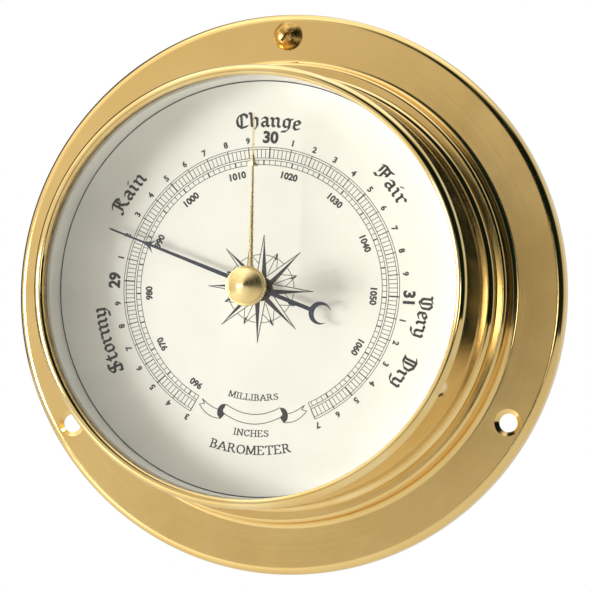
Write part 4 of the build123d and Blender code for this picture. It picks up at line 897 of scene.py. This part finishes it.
def make_ribbon():
    """A plain ribbon between the two words, folded behind itself at both ends."""
    bm = bmesh.new()
    pen = 0.2
    top = bow((-7.3, -31.0), (0, -35.4), (7.3, -31.0), 14)
    bottom = bow((-7.6, -33.5), (0, -38.0), (7.6, -33.5), 14)
    line(bm, top, pen)
    line(bm, bottom, pen)
    fold = bow((7.3, -30.95), (8.9, -30.7), (9.5, -32.3), 6)
    fold += bow((9.5, -32.3), (10.0, -34.2), (8.6, -34.85), 6)
    fold += bow((8.6, -34.85), (7.9, -34.3), (7.55, -33.4), 5)
    fold += bow((7.55, -33.4), (8.5, -32.8), (7.7, -31.9), 5)
    tail_top = bow((9.6, -32.4), (11.6, -31.9), (13.9, -29.9), 6)
    tail_end = [(13.9, -29.9), (13.2, -31.1), (14.6, -31.4)]
    tail_bottom = bow((14.6, -31.4), (12.2, -35.0), (8.5, -34.8), 8)
    for side in (list, mirrored):
        printed(bm, side(fold))
        for stroke in (tail_top, tail_end, tail_bottom):
            line(bm, side(stroke), pen)
    return piece("printed_ribbon", bm, INK)


LONG_POINT_R = 14.25
LONG_POINT_ROOT = (3.3, 1.37)  # how far out a long point's shoulders are, and their half width
SHORT_POINT_R = 10.3
ROOT_R = 6.6  # where a short point springs from the long ones beside it
POINT_STEP = 22.5
ROSE_CIRCLE_R = 9.0


def make_compass_rose():
    """Sixteen-point rose: eight long points, dark on their clockwise half, and eight short."""
    bm = bmesh.new()
    pen = 0.17
    out, half = LONG_POINT_ROOT

    def at(angle, along, across):
        a = radians(angle)
        return (along * sin(a) + across * cos(a), along * cos(a) - across * sin(a))

    for i in range(8):
        angle = i * 45
        tip, left, right = at(angle, LONG_POINT_R, 0), at(angle, out, -half), at(angle, out, half)
        printed(bm, [at(angle, 0, 0), tip, right])
        line(bm, [left, tip], pen * 1.3)
        short = angle + POINT_STEP
        point = at(short, SHORT_POINT_R, 0)
        for side in (-1, 1):
            root_half = (LONG_POINT_R - ROOT_R) * half / (LONG_POINT_R - out)
            root = at(angle + POINT_STEP * (1 + side), ROOT_R, -side * root_half)
            line(bm, [root, point], pen)
        printed(bm, [point, at(short, SHORT_POINT_R - 2.3, 0), at(short, SHORT_POINT_R - 1.5, 0.42)])
        line(bm, [at(short, 4.2, 0), point], pen)
        circle_line(bm, ROSE_CIRCLE_R, pen, angle + 5, angle + 40)
    # A solid ink disc at the centre: partly the rose's own dark centre, partly painted shade from the knob
    # and hand hubs above it
    disc = [clock(out, 360 * i / 48) for i in range(48)]
    printed(bm, disc, PRINT_THICK * 1.2)
    return piece("printed_compass_rose", bm, INK)


make_scales()
make_figures()
make_weather_words()
make_titles()
make_ribbon()
make_compass_rose()


# ---------------------------------------------------------------- hands
def chamfered(bm, outline, low, high, chamfer, matrix):
    """A prism whose upper edge is broken by a small chamfer."""
    prism(bm, outline, low, high, matrix)
    bm.faces.ensure_lookup_table()
    top = bm.faces[-len(outline) - 2]
    bmesh.ops.bevel(bm, geom=list(top.edges), offset=chamfer * MM, segments=1, affect="EDGES",
                    clamp_overlap=True)


def indicator_outline():
    """The indicator hand: hub, shaft, barbed head and spear on one side, crescent on the other."""
    hub, shaft_half, tail_half = 2.4, 0.6, 0.5
    half = bow((0.31, HAND_HEAD - 2.75), (1.0, HAND_HEAD - 3.1), (1.9, HAND_HEAD - 3.9), 5)
    half += bow((1.9, HAND_HEAD - 3.9), (0.5, HAND_HEAD - 2.4), (0.26, HAND_HEAD - 0.3), 6)[1:]
    half += [(0.25, HAND_TIP - 0.9)]
    outline = half + [(0, HAND_TIP)] + [(-x, y) for x, y in half[::-1]]
    shaft_meets, tail_meets = degrees(acos(shaft_half / hub)), degrees(acos(tail_half / hub))
    outline += arc((0, 0), hub, 180 - shaft_meets, 180 + tail_meets, 14)
    reach = (MOON_SHIFT ** 2 + MOON_R ** 2 - MOON_BITE_R ** 2) / (2 * MOON_SHIFT)
    horn = degrees(asin(-reach / MOON_R))
    bite = degrees(asin(-(reach - MOON_SHIFT) / MOON_BITE_R))
    start = degrees(acos(tail_half / MOON_R))
    outline += arc((0, -MOON_AT), MOON_R, 180 - start, 180 - horn, 14)
    outline += arc((0, -MOON_AT - MOON_SHIFT), MOON_BITE_R, 180 - bite, bite, 20)[1:-1]
    outline += arc((0, -MOON_AT), MOON_R, horn, start, 14)
    outline += arc((0, 0), hub, -tail_meets, shaft_meets, 14)
    return outline


def make_indicator_hand():
    bm = bmesh.new()
    chamfered(bm, indicator_outline(), HAND_LOW, HAND_HIGH, 0.07, facing(0, HAND_ANGLE))
    return piece("blued_indicator_hand", bm, BLUED, body="indicator", replaces=["indicator_hand"])


def make_set_hand():
    """The set hand: thin brass with a ridge along its middle, pressed to an arrow near its tip."""
    bm = bmesh.new()
    rows = [(SPINDLE_R, 0.65), (SET_HEAD_BASE, 0.28), (SET_HEAD_BASE + 0.01, 1.5),
            (SET_HEAD_BASE + 1.2, 0.72), (SET_HEAD_BASE + 3.2, 0.28), (SET_HAND_TIP - 1.2, 0.14),
            (SET_HAND_TIP, 0.02)]
    side_h = SET_HAND_LOW + 0.15
    matrix = facing(0, SET_HAND_ANGLE)
    rings = []
    for along, half in rows:
        section = [(-half, SET_HAND_LOW), (half, SET_HAND_LOW), (half, side_h), (0, SET_HAND_HIGH),
                   (-half, side_h)]
        rings.append([bm.verts.new(matrix @ Vector((x, along, h))) for x, h in section])
    skin(bm, rings)
    hub = [(SPINDLE_R, SET_HAND_LOW), (SET_HUB_R, SET_HAND_LOW), (SET_HUB_R, SET_HAND_HIGH - 0.12),
           (SET_HUB_R - 0.15, SET_HAND_HIGH), (SPINDLE_R, SET_HAND_HIGH)]
    turn_outline(bm, hub, facing(0), 64)
    return piece("ridged_set_hand", bm, HAND_BRASS, body="set_hand_spindle", replaces=["set_hand"],
                 angle=12)


KNOB_SIDE = 2.0
KNOB_BEVEL = 0.5
KNOB_SOCKET = 1.4  # depth of the hole that takes the spindle
KNOB_FLUTES = 48
FLUTE_DEPTH = 0.22


def make_knob():
    """The setting knob: a shallow turned cone inside a fluted rim."""
    rim_top = KNOB_H + KNOB_SIDE
    cone_r = KNOB_R - 0.8
    cone_low = rim_top + KNOB_BEVEL
    socket_top = KNOB_H + KNOB_SOCKET
    outline = [(0, socket_top), (SPINDLE_R, socket_top), (SPINDLE_R, KNOB_H), (KNOB_R - 0.3, KNOB_H),
               (KNOB_R, KNOB_H + 0.25), (KNOB_R, rim_top - 0.1)]
    outline += arc((KNOB_R - 0.35, rim_top - 0.1), 0.35, 0, 90, 6)
    outline += [(cone_r + 0.12, rim_top + 0.28), (cone_r, cone_low)]
    for i in range(1, 10):
        t = i / 10
        outline.append((cone_r * (1 - t), cone_low + (KNOB_TOP - cone_low) * (t + 0.08 * sin(pi * t))))
    outline.append((0, KNOB_TOP))

    def flutes(radius, height, a):
        if radius < KNOB_R - 0.36 or height > rim_top + 0.2:
            return 0
        return -FLUTE_DEPTH * (0.5 - 0.5 * cos(KNOB_FLUTES * a)) ** 0.8

    bm = bmesh.new()
    turn_outline(bm, outline, facing(0), KNOB_FLUTES * 8, flutes)
    return piece("fluted_knob", bm, TURNED, body="set_hand_spindle", replaces=["set_knob"],
                 angle=25)


def hand_brass():
    """Thin stamped brass for the set hand: pale, satin and slightly uneven."""
    finish, tree, shader = new_finish("hand_brass", {"Metallic": 1.0})
    position = place(tree)
    dress(tree, shader, mottled(tree, position, 4, 3, "F3E2AE", "E2CC92"),
          spread(tree, noise(tree, position, 0.5, 3), 0.22, 0.34),
          relief(tree, noise(tree, position, 0.4, 2), 0.001))
    return finish


HAND_BRASS = hand_brass()
make_indicator_hand()
make_set_hand()
make_knob()


# ---------------------------------------------------------------- screw in the top hole
THREAD_PITCH = 1.5
THREAD_DEPTH = 0.5
SHANK_R = 2.1
THREAD_TOP = -1.0
HEAD_RISE = 2.1  # height of the head above its seat
DOME_RISE = 2.05
SEAT_GAP = 0.05
SINK_GAP = 0.06  # radial gap between the screw and its countersunk hole
SLOT = (4.2, 0.9, 1.5)  # length, width and depth of the cross slots in the head


def make_mounting_screw():
    """Domed brass wood screw with a cross recess and a cut thread."""
    seat = SCREW_TOP_H - HEAD_RISE
    core = SHANK_R - THREAD_DEPTH
    sink_low = seat - (HOLE_SINK_R - HOLE_R) / tan(radians(SINK_ANGLE / 2))
    bm = bmesh.new()
    sphere_r = (SCREW_HEAD_R ** 2 + DOME_RISE ** 2) / (2 * DOME_RISE)
    centre = (0, SCREW_TOP_H - sphere_r)
    rim = degrees(acos((SCREW_HEAD_R - 0.05) / sphere_r))
    outline = arc(centre, sphere_r, 90, rim, 24)
    outline += [(SCREW_HEAD_R, seat + 0.12), (SCREW_HEAD_R - 0.05, seat + SEAT_GAP),
                (HOLE_SINK_R - SINK_GAP, seat + SEAT_GAP), (HOLE_R - SINK_GAP, sink_low + SEAT_GAP),
                (SHANK_R, sink_low), (SHANK_R, THREAD_TOP + 0.2),
                (core, THREAD_TOP), (core, SCREW_TIP_H + 4), (0, SCREW_TIP_H)]
    turn_outline(bm, outline, facing(0, 0, 0, HOLE_CIRCLE_R), 96)
    screw = piece("domed_mounting_screw", bm, SCREW_BRASS, replaces=["mounting_screw"])
    length, width, depth = SLOT
    for angle in (45, 135):
        slot = bmesh.new()
        prism(slot, rectangle(length, width), SCREW_TOP_H - depth, SCREW_TOP_H + 1,
              facing(0, angle, 0, HOLE_CIRCLE_R))
        carve(screw, slot, "DIFFERENCE", 35)

    thread = bmesh.new()
    steps = 32
    turns = int((THREAD_TOP - SCREW_TIP_H - 1.5) / THREAD_PITCH * steps)
    matrix = facing(0, 0, 0, HOLE_CIRCLE_R)
    rings = []
    for i in range(turns + 1):
        a = 2 * pi * i / steps
        h = THREAD_TOP - 0.3 - i * THREAD_PITCH / steps
        left = (h - SCREW_TIP_H) / 4
        root = min(core, core * left) - 0.03
        crest = root + 0.03 + THREAD_DEPTH * min(1, i / steps, (turns - i) / steps + 0.05)
        ring = []
        for r, up in ((root, 0.45), (crest, 0.06), (crest, -0.06), (root, -0.45)):
            ring.append(thread.verts.new(matrix @ Vector((r * sin(a), r * cos(a), h + up))))
        rings.append(ring)
    skin(thread, rings)
    piece("screw_thread", thread, SCREW_BRASS)


def screw_brass():
    """Brass of a screw head: turned, then handled, with brown patches of tarnish."""
    finish, tree, shader = new_finish("screw_brass", {"Metallic": 1.0})
    position = place(tree)
    tarnish = noise(tree, position, 1.6, 4, 0.6)
    dress(tree, shader, between(tree, spread(tree, tarnish, 0, 1), "D9B56C", "A8803F"),
          spread(tree, noise(tree, position, 0.5, 3), 0.20, 0.34),
          relief(tree, noise(tree, position, 0.3, 2), 0.003))
    return finish


SCREW_BRASS = screw_brass()
make_mounting_screw()


# ---------------------------------------------------------------- floor, light and camera
def stage_floor():
    """A plain pale floor well below the barometer. It only throws light back: the camera misses it."""
    bm = bmesh.new()
    half = 4.0
    corners = [(-half, -half), (half, -half), (half, half), (-half, half)]
    bm.faces.new([bm.verts.new((x, y, -0.6)) for x, y in corners])
    mesh = bpy.data.meshes.new("floor")
    bm.to_mesh(mesh)
    bm.free()
    finish, tree, shader = new_finish("pale_floor", {"Roughness": 0.8})
    tree.links.new(mottled(tree, place(tree), 120, 3, "ECEBE8", "E4E3DF"),
                   shader.inputs["Base Color"])
    mesh.materials.append(finish)
    obj = bpy.data.objects.new("floor", mesh)
    bpy.context.scene.collection.objects.link(obj)
    obj.visible_camera = False


KEY_AZIMUTH, KEY_HEIGHT, KEY_DISTANCE, KEY_SIZE, KEY_POWER = -50, -2, 1.6, 0.5, 18

# Soft patches of light round the room, as (azimuth, elevation, half width, half height, soft
# edges across and up, colour, strength); azimuth 0 is the viewer's side and grows to the
# viewer's right.
ROOM_DARK = "101C1A"
PATCHES = ((-50, 20, 43, 8, 6, 60, "FFF8EC", 0.62), (-62, 12, 30, 20, 34, 40, "FFFBF4", 0.30),
           (-55, 45, 30, 12, 20, 20, "FFFFFF", 0.4),
           (0, 90, 180, 25, 10, 25, "F4F6F8", 1.4), (9.8, 5, 3, 2, 0.8, 0.8, "A9CBE8", 0.6),
           (9.8, 0.2, 3, 2.1, 0.8, 0.8, "FFFFFF", 6.0), (150, 10, 40, 35, 30, 30, "F2F4F2", 0.8))


def towards(azimuth, elevation):
    a, e = radians(azimuth), radians(elevation)
    return Vector((sin(a) * cos(e), -cos(a) * cos(e), sin(e)))


def room_light():
    """A dark room with soft bright patches that the brass mirrors; the camera sees plain white."""
    world = bpy.data.worlds.new("room")
    bpy.context.scene.world = world
    world.use_nodes = True
    tree = world.node_tree
    tree.nodes.clear()
    direction = add(tree, "TexCoord").outputs["Generated"]
    apart = add(tree, "SeparateXYZ", {0: direction})
    ahead = add(tree, "Math", {0: apart.outputs[1], 1: -1.0}, operation="MULTIPLY")
    azimuth = add(tree, "Math", {0: apart.outputs[0], 1: ahead.outputs[0]},
                  operation="ARCTAN2").outputs[0]
    elevation = add(tree, "Math", {0: apart.outputs[2]}, operation="ARCSINE").outputs[0]
    total = None
    for patch_azimuth, patch_height, half_w, half_h, soft_w, soft_h, colour, strength in PATCHES:
        shares = []
        for angle, middle, half, soft in ((azimuth, patch_azimuth, half_w, soft_w),
                                          (elevation, patch_height, half_h, soft_h)):
            off = add(tree, "Math", {0: angle, 1: radians(middle)}, operation="SUBTRACT")
            wrapped = add(tree, "Math", {0: off.outputs[0], 1: pi, 2: -pi}, operation="WRAP")
            size = add(tree, "Math", {0: wrapped.outputs[0]}, operation="ABSOLUTE")
            shares.append(add(tree, "MapRange", {"Value": size.outputs[0], "From Min": radians(half),
                                                 "From Max": radians(half + soft), "To Min": 1.0,
                                                 "To Max": 0.0}, interpolation_type="SMOOTHSTEP").outputs[0])
        amount = add(tree, "Math", {0: shares[0], 1: shares[1]}, operation="MULTIPLY")
        glow = [c * strength for c in linear(colour)[:3]]
        lit = add(tree, "VectorMath", {0: glow, "Scale": amount.outputs[0]}, operation="SCALE").outputs[0]
        if total is None:
            total = lit
        else:
            total = add(tree, "VectorMath", {0: total, 1: lit}, operation="ADD").outputs[0]
    total = add(tree, "VectorMath", {0: total, 1: linear(ROOM_DARK)[:3]}, operation="ADD").outputs[0]
    room = add(tree, "Background", {"Color": total, "Strength": 1.0})
    white = add(tree, "Background", {"Color": (1, 1, 1, 1), "Strength": 1.0})
    path = add(tree, "LightPath")
    mix = add(tree, "MixShader", {0: path.outputs["Is Camera Ray"], 1: room.outputs[0], 2: white.outputs[0]})
    add(tree, "OutputWorld", {"Surface": mix.outputs[0]})


def key_light():
    light = bpy.data.lights.new("key", "AREA")
    light.size = KEY_SIZE
    light.energy = KEY_POWER
    lamp = bpy.data.objects.new("key", light)
    bpy.context.scene.collection.objects.link(lamp)
    way = towards(KEY_AZIMUTH, KEY_HEIGHT)
    lamp.location = way * KEY_DISTANCE
    lamp.rotation_euler = way.to_track_quat("Z", "Y").to_euler()


CAMERA_AZIMUTH, CAMERA_HEIGHT, CAMERA_ROLL = 13.432, -2.487, 0.146
CAMERA_DISTANCE = 1.1393
CAMERA_TARGET = Vector((0.001137, 0, -0.000423))
CAMERA_LENS = 254.95


def place_camera():
    data = bpy.data.cameras.new("camera")
    data.lens = CAMERA_LENS
    data.clip_start = 0.01
    camera = bpy.data.objects.new("camera", data)
    bpy.context.scene.collection.objects.link(camera)
    out = towards(CAMERA_AZIMUTH, CAMERA_HEIGHT)
    right = (-out).cross(Vector((0, 0, 1))).normalized()
    up = right.cross(-out).normalized()
    roll = radians(CAMERA_ROLL)
    x_axis = right * cos(roll) + up * sin(roll)
    y_axis = up * cos(roll) - right * sin(roll)
    turn = Matrix((x_axis, y_axis, out)).transposed()
    camera.matrix_world = Matrix.Translation(CAMERA_TARGET + out * CAMERA_DISTANCE) @ turn.to_4x4()
    bpy.context.scene.camera = camera


stage_floor()
room_light()
key_light()
place_camera()
bpy.context.scene.view_settings.view_transform = "Standard"
